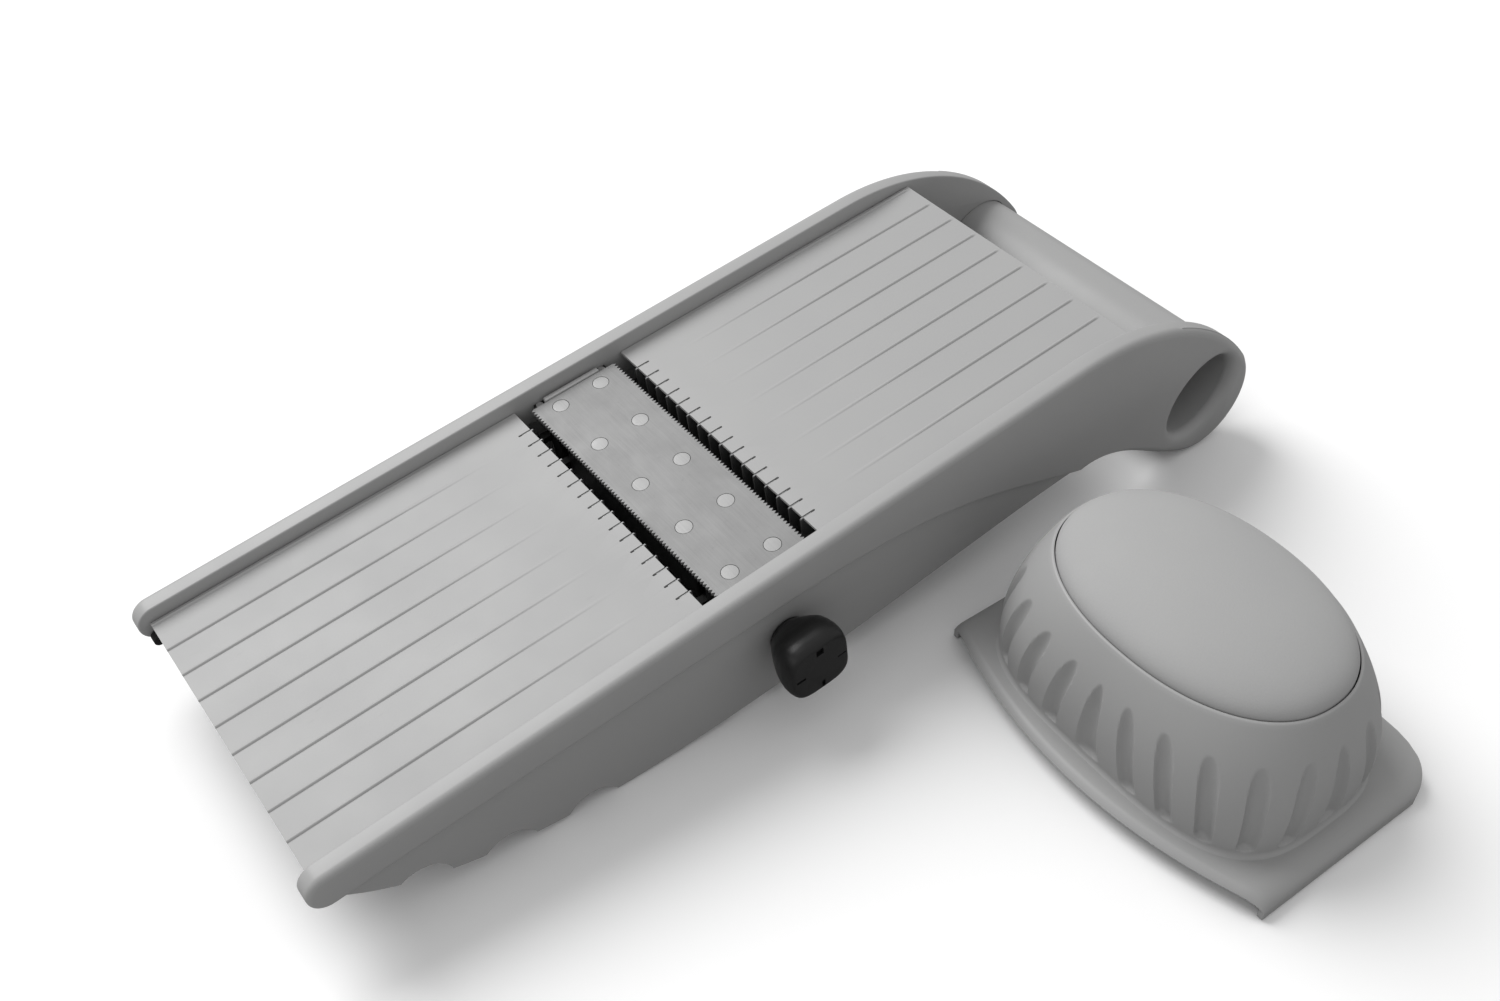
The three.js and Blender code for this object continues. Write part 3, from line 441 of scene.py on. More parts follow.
finishes = {
    "body": dict(colour=(0.37, 0.37, 0.368), roughness=0.42, grainSize=2600.0, grainDepth=0.000012),
    "plate": dict(
        colour=(0.375, 0.375, 0.373), roughness=0.46, grainSize=3200.0, grainDepth=0.00001, edgeWear=0.2,
    ),
    "dark": dict(colour=(0.014, 0.014, 0.014), roughness=0.5, grainSize=2200.0, grainDepth=0.00002),
    "knob": dict(
        colour=(0.013, 0.013, 0.013), roughness=0.34, grainSize=2800.0, grainDepth=0.00002, specular=0.3,
        edgeWear=0.8,
    ),
    "guard": dict(colour=(0.37, 0.37, 0.368), roughness=0.44, grainSize=2400.0, grainDepth=0.000014),
    "softTouch": dict(
        colour=(0.38, 0.38, 0.378), roughness=0.72, grainSize=1900.0, grainDepth=0.00006, specular=0.3,
        edgeWear=0.1, scuffs=0.15, sheen=0.12,
    ),
    "rubber": dict(
        colour=(0.012, 0.012, 0.012), roughness=0.8, grainSize=1500.0, grainDepth=0.00004, specular=0.3,
    ),
}
bodyPlastic = plasticOf("bodyPlastic", **finishes["body"])
platePlastic = plasticOf("platePlastic", **finishes["plate"])
darkPlastic = plasticOf("darkPlastic", **finishes["dark"])
knobPlastic = plasticOf("knobPlastic", **finishes["knob"])
guardPlastic = plasticOf("guardPlastic", **finishes["guard"])
softTouch = plasticOf("softTouch", **finishes["softTouch"])
footRubber = plasticOf("footRubber", **finishes["rubber"])
bladeSteel = steelOf("bladeSteel", (0.255, 0.255, 0.253), 0.52, 0.000002, marks=0.2, metal=0.35)
combSteel = steelOf("combSteel", (0.2, 0.2, 0.2), 0.4, 0.000004, metal=0.6)
brightSteel = steelOf("brightSteel", (0.37, 0.37, 0.367), 0.5, 0.000002, marks=0.2, metal=0.3)
print("materials ready")


# Side rails: a rounded band with a thinner skirt below it. The left one mirrors the right.
rail = {
    "inner": 59.0, "outer": 66.0, "topRound": 2.3, "lobeRound": 3.1, "bottomRound": 1.2, "innerRound": 0.6,
    "rise": 5.0, "riseAtBack": 6.5, "bandDepth": 9.3, "skirtIn": 61.0, "skirtOut": 64.0, "skirtDepth": 47.8,
    "lobe": (356.2, -53.5, 22.3), "grip": (352.2, -48.0), "gripHole": (17.0, 13.5),
    "gripTurn": math.radians(42), "gripSocket": 3.1, "braceBoss": 4.0, "braceDrop": 20.0,
    "rodHole": 2.3, "rodDrop": 5.2, "bushHole": 5.3,
    "funnel": 4.2, "notchAt": (27.5, 54.0, 82.5), "notchRadius": 10.5, "notchDepth": 5.0,
    "shaftDrop": 24.5, "braceAt": (48.0, 262.0), "rodAt": (6.0, 312.2),
}
tipRadius = (rail["rise"] + 8) / 2
backY = slicer["runwayEnd"] - 28
lobeY, lobeZ, lobeRadius = rail["lobe"]
backDrop, backReach = rail["riseAtBack"] - lobeZ, lobeY - backY
backRadius = (backReach ** 2 + backDrop ** 2 - lobeRadius ** 2) / (2 * (backDrop - lobeRadius))
lobeStart = math.degrees(math.atan2(backRadius - backDrop, backReach))
lobeEnd = -115.0
leaveY = lobeY + lobeRadius * math.cos(math.radians(lobeEnd))
leaveZ = lobeZ + lobeRadius * math.sin(math.radians(lobeEnd))
skirtDepth, bandDepth, bladeY = rail["skirtDepth"], rail["bandDepth"], slicer["bladeMiddle"][1]


def backAndLobe():
    points = linePoints((tipRadius - 4, rail["rise"]), (backY, rail["riseAtBack"]), 60)
    points += arcPoints(backY, rail["riseAtBack"] - backRadius, backRadius, 90, lobeStart, 44)
    points += arcPoints(lobeY, lobeZ, lobeRadius, lobeStart, lobeEnd, 52)
    under = [(leaveY, leaveZ), (leaveY - 20, leaveZ + 9.3), (backY + 20, 8 - skirtDepth)]
    return points + curvePoints(*under, (backY, 5 - skirtDepth), 26)


def tipPoints():
    return arcPoints(tipRadius - 4, rail["rise"] - tipRadius, tipRadius, 270, 90, 20)


def sideOutline():
    points = backAndLobe()
    low = bladeY - 15
    points += curvePoints(
        (backY, 5 - skirtDepth), (backY - 35, 6 - skirtDepth), (low + 55, -skirtDepth), (low, -skirtDepth), 40
    )
    tipFoot = (4, rail["rise"] - 2 * tipRadius)
    points += curvePoints((low, -skirtDepth), (low - 50, -skirtDepth), (36, 6 - skirtDepth), tipFoot, 70)
    return [*points, tipFoot, *tipPoints()]


def bandOutline():
    points = backAndLobe()
    points += curvePoints(
        (backY, 5 - skirtDepth), (backY - 40, 22 - skirtDepth), (backY - 60, -bandDepth - 1),
        (bladeY, -bandDepth), 46,
    )
    points += linePoints((bladeY, -bandDepth), (22, 1.6 - bandDepth), 40)
    points += linePoints((22, 1.6 - bandDepth), (tipRadius - 4, rail["rise"] - 2 * tipRadius), 6)
    return points + tipPoints()


def notchTools():
    edge = sideOutline()
    tools = []
    for station in rail["notchAt"]:
        for p, q in zip(edge, edge[1:]):
            if p[1] < -bandDepth and p[0] >= station > q[0]:
                share = (station - p[0]) / (q[0] - p[0])
                along = Vector((q[0] - p[0], q[1] - p[1])).normalized()
                out = Vector((-along.y, along.x))
                out = out if out.y < 0 else -out
                spot = Vector(p).lerp(Vector(q), share) + out * (rail["notchRadius"] - rail["notchDepth"])
                tools.append(drumFrom("notchTool", "x", rail["notchRadius"], 58, 68, spot.x, spot.y, 72))
                break
    return tools


# unit normals of a closed outline, pointing into it
def inwards(outline):
    count = len(outline)
    turned = sum(p[0] * q[1] - q[0] * p[1] for p, q in zip(outline, outline[1:] + outline[:1]))
    side = 1 if turned > 0 else -1
    normals = []
    for i in range(count):
        along = Vector(outline[(i + 1) % count]) - Vector(outline[i - 1])
        normals.append(Vector((-along.y, along.x)).normalized() * side)
    return normals


# how far the outer rim is rounded at each point: most on the lobe, least under the band
def rimRadii(outline):
    radii = []
    for y, z in outline:
        if y < backY + 20 and z < 0:
            radii.append(rail["bottomRound"])
        else:
            share = min(1, max(0, (y - backY) / 50))
            radii.append(rail["topRound"] + (rail["lobeRound"] - rail["topRound"]) * share)
    count = len(radii)
    for _ in range(4):
        radii = [
            (radii[i - 2] + radii[i - 1] + radii[i] + radii[(i + 1) % count] + radii[(i + 2) % count]) / 5
            for i in range(count)
        ]
    return radii


def bandPiece():
    outline = bandOutline()
    normals, radii = inwards(outline), rimRadii(outline)
    small = rail["innerRound"]
    # (x, inset, angle): the inner corner has fixed rings, the outer one follows its own radius
    rings = [
        (rail["inner"] + small * (1 - math.cos(a)), small * (1 - math.sin(a)), None)
        for a in (0, math.pi / 8, math.pi / 4, math.pi * 3 / 8, math.pi / 2)
    ]
    rings += [(None, None, math.pi / 2 * i / 8) for i in range(9)]

    def bandAt(u, v):
        i = round(u * len(outline)) % len(outline)
        x, inset, angle = rings[round(v * (len(rings) - 1))]
        if angle is not None:
            x = rail["outer"] - radii[i] * (1 - math.sin(angle))
            inset = radii[i] * (1 - math.cos(angle))
        y, z = outline[i][0] + normals[i].x * inset, outline[i][1] + normals[i].y * inset
        return Vector((x, y, z))

    return wrapGrid("rightRail", len(outline), len(rings) - 1, bandAt)


def rightRail():
    band = bandPiece()
    skirt = slabFrom("skirt", sideOutline(), "x", rail["skirtIn"], rail["skirtOut"])
    withTool(skirt, blockFrom("skirtTop", (50, -30, -bandDepth + 3), (70, 420, 60)), "DIFFERENCE")
    withTool(band, skirt, "UNION")
    # bosses for the braces, the ledge under the blade and the hinge rods' bosses
    for y in rail["braceAt"]:
        inner = rail["skirtIn"]
        boss = drumFrom("boss", "x", rail["braceBoss"], inner - 3.6, inner + 1, y, -rail["braceDrop"], 40)
        withTool(band, boss, "UNION")
    ledge = blockFrom("ledge", (55.6, bladeY - 15, -8.6), (60, bladeY + 15, -4.6))
    withTool(band, ledge, "UNION")
    for y in rail["rodAt"]:
        withTool(band, blockFrom("rodBoss", (55, y - 6, -9.7), (60, y + 6, -3.1)), "UNION")
        rodHole = drumFrom("rodHole", "x", rail["rodHole"], 50, 63, y, -rail["rodDrop"], 32)
        withTool(band, rodHole, "DIFFERENCE")
    socketOutline = [ovalSpot(i / 72, rail["gripSocket"]) for i in range(72)]
    withTool(band, slabFrom("socket", socketOutline, "x", 57, 62), "DIFFERENCE")
    flare = rail["funnel"]

    def funnelAt(u, v):
        x = 56 + v * 12
        deep = min(1, max(0, (x - (rail["outer"] - flare)) / flare))
        return Vector((x, *ovalSpot(u, flare * (1 - math.sqrt(max(0, 1 - deep * deep))))))

    withTool(band, wrapGrid("funnel", 96, 36, funnelAt), "DIFFERENCE")
    bushHole = drumFrom("bushHole", "x", rail["bushHole"], 58, 70, bladeY, -rail["shaftDrop"], 48)
    withTool(band, bushHole, "DIFFERENCE")
    for tool in notchTools():
        withTool(band, tool, "DIFFERENCE")
    mendNormals(band)
    return band


right = rightRail()
left = mirrored(right, "leftRail")
finishPiece(right, slicerPlace, "frame", bodyPlastic, ["right_side_rail"])
finishPiece(left, slicerPlace, "frame", bodyPlastic, ["left_side_rail"])
print("side rails done")

# The hollow grip between the lobes.
grip = {"end": 61.94, "wall": 2.8}


def gripTube():
    end, wall = grip["end"], grip["wall"]
    loop = [(-end, 0.0), (-end, wall), (end, wall), (end, 0.0)]

    def tubeAt(u, v):
        step = (v * 4) % 4
        i, share = int(step), step % 1
        (x0, g0), (x1, g1) = loop[i], loop[(i + 1) % 4]
        return Vector((x0 + (x1 - x0) * share, *ovalSpot(u, g0 + (g1 - g0) * share)))

    return wrapGrid("grip", 96, 16, tubeAt, capped=False)


finishPiece(gripTube(), slicerPlace, "frame", bodyPlastic, ["handle_grip"], 50)

# Runway plates, each with its beads, comb slots and hinge barrels.
plates = {
    "half": 58.6, "thickness": 2.4, "beadPitch": 12.7, "beadCount": 10, "beadHalf": 0.75, "beadHeight": 0.55,
    "slotPitch": 6.35, "slotCount": 16, "slotWidth": 0.8, "slotLength": 4.9, "lipThickness": 1.1,
    "barrel": 4.0, "barrelBore": 2.25, "barrelLength": 6.0, "barrelInset": 4.4, "beadFade": 60.0,
    "beadSteps": (-2.2, -1.3, -1, -0.75, -0.5, -0.25, 0, 0.25, 0.5, 0.75, 1, 1.3, 2.2),
}
slotXs = [(i - (plates["slotCount"] - 1) / 2) * plates["slotPitch"] for i in range(plates["slotCount"])]


def beadXs():
    edge = plates["half"] - 1.1
    places = [(i - (plates["beadCount"] - 1) / 2) * plates["beadPitch"] for i in range(plates["beadCount"])]
    return [max(-edge, min(edge, x)) for x in places]


def runwayPlate(name, outerY, innerY, rodY, endGap):
    toInner = 1 if innerY > outerY else -1
    length = abs(innerY - outerY)
    half = plates["half"]
    columns = [-half]
    for x in beadXs():
        columns += [x + k * plates["beadHalf"] for k in plates["beadSteps"]]
    columns = sorted({round(max(-half, min(half, x)), 4) for x in [*columns, half]})
    rows = [0, 0.4, 1, 1.8, 2.4, 3, 4, 6, 10, *range(18, 126, 6), length]
    rows = [r for r in rows if r <= length]

    def plateAt(u, v):
        x = columns[round(u * (len(columns) - 1))]
        away = rows[round(v * (len(rows) - 1))]
        fade = min(1, max(0, (length - 19 - away) / plates["beadFade"]))
        if endGap:
            fade *= min(1, max(0, (away - 1.6) / 1.4)) ** 0.5
        near = min(abs(x - b) for b in beadXs())
        swell = max(0, 1 - (near / plates["beadHalf"]) ** 2)
        return Vector((x, outerY + toInner * away, plates["beadHeight"] * fade * swell))

    piece = wrapGrid(name, len(columns) - 1, len(rows) - 1, plateAt, closed=False, capped=False)
    editAll(piece, "FACE")
    bpy.ops.mesh.normals_make_consistent(inside=False)
    leaveEdit()
    if piece.data.polygons[0].normal.z < 0:
        piece.data.flip_normals()
    # the underside is a copy of the top, let down and flattened
    editAll(piece, "FACE")
    bpy.ops.mesh.extrude_region_move(TRANSFORM_OT_translate={"value": (0, 0, -10)})
    leaveEdit()
    for vertex in piece.data.vertices:
        if vertex.co.z < -5:
            thin = abs(vertex.co.y - innerY) < 0.5
            vertex.co.z = -plates["lipThickness"] if thin else -plates["thickness"]
    mendNormals(piece)
    halfSlot = plates["slotWidth"] / 2
    roundY = innerY - toInner * (plates["slotLength"] - halfSlot)
    lowY, highY = sorted((roundY, innerY + toInner))
    slots = [blockFrom("slot", (x - halfSlot, lowY, -4), (x + halfSlot, highY, 1)) for x in slotXs]
    ends = [drumFrom("slotEnd", "z", halfSlot, -4, 1, x, roundY, 16) for x in slotXs]
    withTool(piece, joinAll(slots, "slots"), "DIFFERENCE")
    withTool(piece, joinAll(ends, "slotEnds"), "DIFFERENCE")
    barrelX, rodZ = slicer["runwayHalf"] - plates["barrelInset"], -rail["rodDrop"]
    for low in (-barrelX, barrelX - plates["barrelLength"]):
        high = low + plates["barrelLength"]
        withTool(piece, blockFrom("neck", (low, rodY - 2, rodZ), (high, rodY + 2, -1.9)), "UNION")
        withTool(piece, drumFrom("barrel", "x", plates["barrel"], low, high, rodY, rodZ, 40), "UNION")
        bore = drumFrom("barrelBore", "x", plates["barrelBore"], low - 1, high + 1, rodY, rodZ, 32)
        withTool(piece, bore, "DIFFERENCE")
    mendNormals(piece)
    return piece


frontPlate = runwayPlate("frontPlate", 0, slicer["windowStart"], rail["rodAt"][0], False)
finishPiece(frontPlate, slicerPlace, "front_plate", platePlastic, ["front_runway_plate"], 30)
rearPlate = runwayPlate("rearPlate", slicer["runwayEnd"], slicer["windowEnd"], rail["rodAt"][1], True)
finishPiece(rearPlate, slicerPlace, "rear_plate", platePlastic, ["rear_runway_plate"], 30)
print("runway plates done")

# Blade, rivets and end clip.
blade = {
    "half": 17.8, "halfLength": 55.3, "top": 0.2, "thickness": 1.2, "toothPitch": 1.5, "toothDepth": 1.2,
    "rivetRadius": 2.85, "rivetGap": 0.2, "rivetPitch": 25.1, "rivetRows": 16.8,
}
rivetSpots = [
    ((i - 2) * blade["rivetPitch"], bladeY + side * blade["rivetRows"] / 2)
    for side in (-1, 1) for i in range(5)
]


def bladePlate():
    count = round(2 * blade["halfLength"] / blade["toothPitch"])
    pitch = 2 * blade["halfLength"] / count
    low = []
    for i in range(count):
        x = -blade["halfLength"] + i * pitch
        low += [(x, bladeY - blade["half"] + blade["toothDepth"]), (x + pitch * 0.5, bladeY - blade["half"])]
    low.append((blade["halfLength"], bladeY - blade["half"] + blade["toothDepth"]))
    high = [(x, 2 * bladeY - y) for x, y in reversed(low)]
    piece = slabFrom("bladePlate", low + high, "z", blade["top"] - blade["thickness"], blade["top"])
    radius = blade["rivetRadius"] + blade["rivetGap"]
    holes = [drumFrom("rivetHole", "z", radius, -4, 4, x, y, 48) for x, y in rivetSpots]
    withTool(piece, joinAll(holes, "rivetHoles"), "DIFFERENCE")
    mendNormals(piece)
    return piece


finishPiece(bladePlate(), slicerPlace, "frame", bladeSteel, ["blade"])


def rivetPiece():
    head = drumFrom("rivet", "z", blade["rivetRadius"], -2.3, blade["top"] - 0.03, 0, 0, 48)
    editAll(head, "FACE")
    bpy.ops.mesh.select_all(action="DESELECT")
    leaveEdit()
    for face in head.data.polygons:
        face.select = face.normal.z > 0.9
    bpy.ops.object.mode_set(mode="EDIT")
    bpy.ops.mesh.inset(thickness=0.22, depth=0)
    bpy.ops.transform.translate(value=(0, 0, 0.02))
    leaveEdit()
    shank = drumFrom("shank", "z", 1.8, -5.5, -2.2, 0, 0, 24)
    return joinAll([head, shank], "rivet")


# one rivet is modelled, and each copy takes the place of the CAD rivet nearest to it
rivet = rivetPiece()
for number in range(1, 11):
    spot = middleOf(f"blade_rivet_{number}")
    x, y = min(rivetSpots, key=lambda s: ((slicerPlace @ Vector((s[0], s[1], -2))) - spot).length)
    head = copyOf(rivet, f"rivet{number}", (x, y, 0))
    finishPiece(head, slicerPlace, "frame", brightSteel, [f"blade_rivet_{number}"])
bpy.data.objects.remove(rivet)

clip = {"low": (-57.6, -11.3, -2.8), "high": (-55.6, 11.3, 0.7), "round": 0.35}
endClip = blockFrom("bladeClip", clip["low"], clip["high"])
endClip.data.transform(Matrix.Translation((0, bladeY, 0)))
softEdges(endClip, clip["round"], 3)
finishPiece(endClip, slicerPlace, "frame", bodyPlastic, ["blade_end_clip"])
print("blade done")

# Julienne combs. Each is a strip with a tooth under every slot.
combs = {
    "thickness": 0.5, "tip": -0.3, "foot": -14.4, "strip": 1.0,
    "frontAt": (134.3, 139.1), "rearAt": (182.1, 186.9),
}


def combPiece(name, lowY, highY):
    half, tip, foot = combs["thickness"] / 2, combs["tip"], combs["foot"]
    outline = [
        (lowY, foot + 0.2), (highY, foot + 0.2), (highY, tip - 0.3),
        (highY - 0.3, tip), (lowY + 0.3, tip), (lowY, tip - 0.3),
    ]
    tooth = slabFrom("tooth", outline, "x", -half, half)
    teeth = [copyOf(tooth, "tooth", (x, 0, 0)) for x in slotXs]
    bpy.data.objects.remove(tooth)
    endX = slotXs[-1] + 1.6
    strip = blockFrom("strip", (-endX, lowY, foot - combs["strip"]), (endX, highY, foot + 0.3))
    return joinAll([strip, *teeth], name)


for end in ("front", "rear"):
    comb = combPiece(end + "Comb", *combs[end + "At"])
    finishPiece(comb, slicerPlace, "comb_carriage", combSteel, [end + "_julienne_comb"])

shadeScreen = {
    "half": 51.0, "link": 41.5, "linkGap": 2.2, "front": -14.9, "foot": -24.0, "top": -5.0, "wall": 1.2,
    "rearWall": 188.2, "rearHalf": 52.0, "ribs": (-30, -15, 0, 15, 30),
}


# dark walls under the bridge, with gaps for the carriages' links: painted shade, dark sheets that keep the lit
# floor from showing through the gaps round the blade
def shadeScreenPiece():
    front, top, foot, thick = bladeY + shadeScreen["front"], shadeScreen["top"], shadeScreen["foot"], shadeScreen["wall"]
    inner, outer = shadeScreen["link"] - shadeScreen["linkGap"], shadeScreen["link"] + shadeScreen["linkGap"]

    def spans(half):
        return (-half, -outer), (-inner, inner), (outer, half)

    walls = [
        blockFrom("wall", (low, front, foot), (high, front + thick, top))
        for low, high in spans(shadeScreen["half"])
    ]
    for x in (-shadeScreen["link"] - 3.5, shadeScreen["link"] - 3.5):
        walls.append(blockFrom("sideWall", (x, front, foot), (x + thick, front + 8.5, top)))
    ribs = [blockFrom("rib", (x - 0.6, front + 0.6, -14), (x + 0.6, front + 3, top)) for x in shadeScreen["ribs"]]
    # the rear walls are painted shade too: dark sheets that hide the lit floor below the rear plate's edge
    rearY = shadeScreen["rearWall"]
    rear = [
        blockFrom("rearWall", (low, rearY, -26), (high, rearY + 1, -8))
        for low, high in spans(shadeScreen["rearHalf"])
    ]
    return joinAll(walls + ribs + rear, "shadeScreenPiece")


# painted shade: these dark walls stand where the slicer only has shadow under the blade
finishPiece(shadeScreenPiece(), slicerPlace, "frame", darkPlastic)
print("combs done")

# Selector knob: a round base that swells into a rounded square, with four engraved marks.
knob = {
    "base": 64.8, "face": 82.8, "half": 11.6, "bore": 3.3, "boreEnd": 77.1,
    "markAt": 8.1, "markDepth": 1.2, "markHalves": ((1.4, 1.4), (1.7, 0.3), (0.65, 1.4), (1.7, 0.52)),
    "levels": (
        (0.0, 0.58), (0.04, 0.6), (0.09, 0.66), (0.17, 0.74), (0.28, 0.83), (0.4, 0.91), (0.54, 0.97),
        (0.68, 1.0), (0.8, 0.995), (0.89, 0.97), (0.945, 0.94), (0.977, 0.905), (0.994, 0.865), (1.0, 0.825),
    ),
}


# levels are (share of the length, share of the width)
def knobPiece():
    y0, z0, face = bladeY, -rail["shaftDrop"], knob["face"]
    levels = knob["levels"]

    def knobAt(u, v):
        step = v * (len(levels) - 1)
        i = min(int(step), len(levels) - 2)
        share = step - i
        depth = levels[i][0] + (levels[i + 1][0] - levels[i][0]) * share
        size = levels[i][1] + (levels[i + 1][1] - levels[i][1]) * share
        a = 2 * math.pi * u
        power = 2.0 + 1.7 * min(1, max(0, (depth - 0.1) * 4))
        c, s = math.cos(a), math.sin(a)
        reach = (abs(c) ** power + abs(s) ** power) ** (-1 / power) * knob["half"] * size
        return Vector((knob["base"] + depth * (face - knob["base"]), y0 + reach * c, z0 + reach * s))

    piece = wrapGrid("knob", 128, (len(levels) - 1) * 3, knobAt)
    marks = []
    for quarter, (halfY, halfZ) in enumerate(knob["markHalves"]):
        a = math.pi / 2 - quarter * math.pi / 2
        y, z = y0 + knob["markAt"] * math.cos(a), z0 + knob["markAt"] * math.sin(a)
        low, high = (face - knob["markDepth"], y - halfY, z - halfZ), (face + 1, y + halfY, z + halfZ)
        marks.append(blockFrom("mark", low, high))
    withTool(piece, joinAll(marks, "marks"), "DIFFERENCE")
    withTool(piece, drumFrom("knobBore", "x", knob["bore"], 60, knob["boreEnd"], y0, z0, 40), "DIFFERENCE")
    mendNormals(piece)
    return piece


finishPiece(knobPiece(), slicerPlace, "selector", knobPlastic, ["selector_knob"], 40)
print("knob done")

# Hand guard: fluted shell with its flange, sprung cap and the coil between them.
guard = {
    "lipOut": 68.5, "lipHalf": 34.0, "half": 48.0, "top": 8.5, "thickness": 2.0,
    "baseX": 59.0, "baseY": 39.0, "bulge": 4.6, "seamX": 51.0, "seamY": 35.3, "seamZ": 56.4, "topZ": 68.7,
    "basePower": 3.3, "seamPower": 2.2, "wall": 2.2, "lowWall": 3.3, "flare": 2.6,
    "flutes": 24, "fluteRadius": 3.2, "fluteDepth": 2.2,
    "fluteLow": 11.2, "fluteHigh": 44.5, "fluteFade": 31.0,
}
ringTable = {}


def superSpot(a, b, power, angle):
    c, s = math.cos(angle), math.sin(angle)
    return (
        a * math.copysign(abs(c) ** (2 / power), c),
        b * math.copysign(abs(s) ** (2 / power), s),
    )


# running share of the superellipse's length at even steps of its angle
def evenAngles(a, b, power, count=2880):
    key = (a, b, power)
    if key not in ringTable:
        lengths, previous = [0.0], superSpot(a, b, power, 0)
        for i in range(1, count + 1):
            spot = superSpot(a, b, power, 2 * math.pi * i / count)
            lengths.append(lengths[-1] + math.hypot(spot[0] - previous[0], spot[1] - previous[1]))
            previous = spot
        ringTable[key] = [x / lengths[-1] for x in lengths]
    return ringTable[key]


def angleAt(table, share):
    low, high = 0, len(table) - 1
    while high - low > 1:
        middle = (low + high) // 2
        if table[middle] <= share:
            low = middle
        else:
            high = middle
    part = (share - table[low]) / max(1e-9, table[high] - table[low])
    return 2 * math.pi * (low + part) / (len(table) - 1)


def fluteDepthAt(u, z, perimeter):
    r, deep = guard["fluteRadius"], guard["fluteDepth"]
    low, high = guard["fluteLow"], guard["fluteHigh"]
    if z <= low or z >= high:
        return 0.0
    if z < low + 2.2:
        deep *= math.sqrt(max(0, 1 - ((low + 2.2 - z) / 2.2) ** 2))
    elif z > guard["fluteFade"]:
        deep *= max(0, 1 - ((z - guard["fluteFade"]) / (high - guard["fluteFade"])) ** 2.4)
    step = 1 / guard["flutes"]
    away = abs((u + step / 2) % step - step / 2) * perimeter
    if away >= r:
        return 0.0
    cut = math.sqrt(r * r - away * away) - (r - deep)
    return max(0.0, 0.5 * (cut + math.sqrt(cut * cut + 0.03)) - 0.03)


def shellWall():
    low, high = guard["top"], guard["seamZ"]
    # (height, inset, whether the flutes cut in here)
    path = []
    for i in range(7):
        a = math.pi / 2 * i / 6
        flare = guard["flare"]
        path.append((low - 0.3 + flare * (1 - math.cos(a)), -flare * (1 - math.sin(a)), False))
    z = path[-1][0]
    while z < 46:
        z += 0.45 if z < 14 or 34 < z < 45 else 1.1
        path.append((z, 0.0, True))
    for i in range(1, 9):
        path.append((z + (high - 0.4 - z) * i / 8, 0.0, False))
    path += [(high - 0.12, 0.12, False), (high, 0.4, False), (high - 0.05, 0.75, False)]
    path += [(high - 0.6, 0.9, False), (high - 7, 0.9, False), (high - 8, guard["wall"], False)]
    path += [(high - 8 - (high - 8 - 6.6) * i / 6, guard["lowWall"], False) for i in range(1, 7)]
    path += [(6.6, 0.6, False), (6.8, -0.6, False), (7.6, -guard["flare"] + 0.2, False)]
    count = len(path)
    perimeter = 336.0
    base = evenAngles(guard["baseX"], guard["baseY"], 2.75)

    def wallAt(u, v):
        i = round(v * count) % count
        z, inset, fluted = path[i]
        t = min(1, max(0, (z - guard["top"]) / (guard["seamZ"] - guard["top"])))
        bulge = guard["bulge"] * 4 * t * (1 - t)
        a = guard["baseX"] + (guard["seamX"] - guard["baseX"]) * t + bulge - inset
        b = guard["baseY"] + (guard["seamY"] - guard["baseY"]) * t + bulge - inset
        if fluted:
            cut = fluteDepthAt(u, z, perimeter)
            a, b = a - cut, b - cut
        power = guard["basePower"] + (guard["seamPower"] - guard["basePower"]) * t
        x, y = superSpot(a, b, power, angleAt(base, u))
        return Vector((x, y, z))

    return wrapGrid("guardShell", guard["flutes"] * 30, count, wallAt, capped=False)


flange = {
    "flat": 60.0, "across": 8.2, "down": 5.2, "cornerFrom": 46.0, "cornerDrop": 14.0,
    "roll": 2.3, "rollRows": (0, 0.5, 1.0, 1.6, 2.3, 3.2), "rows": 24,
}


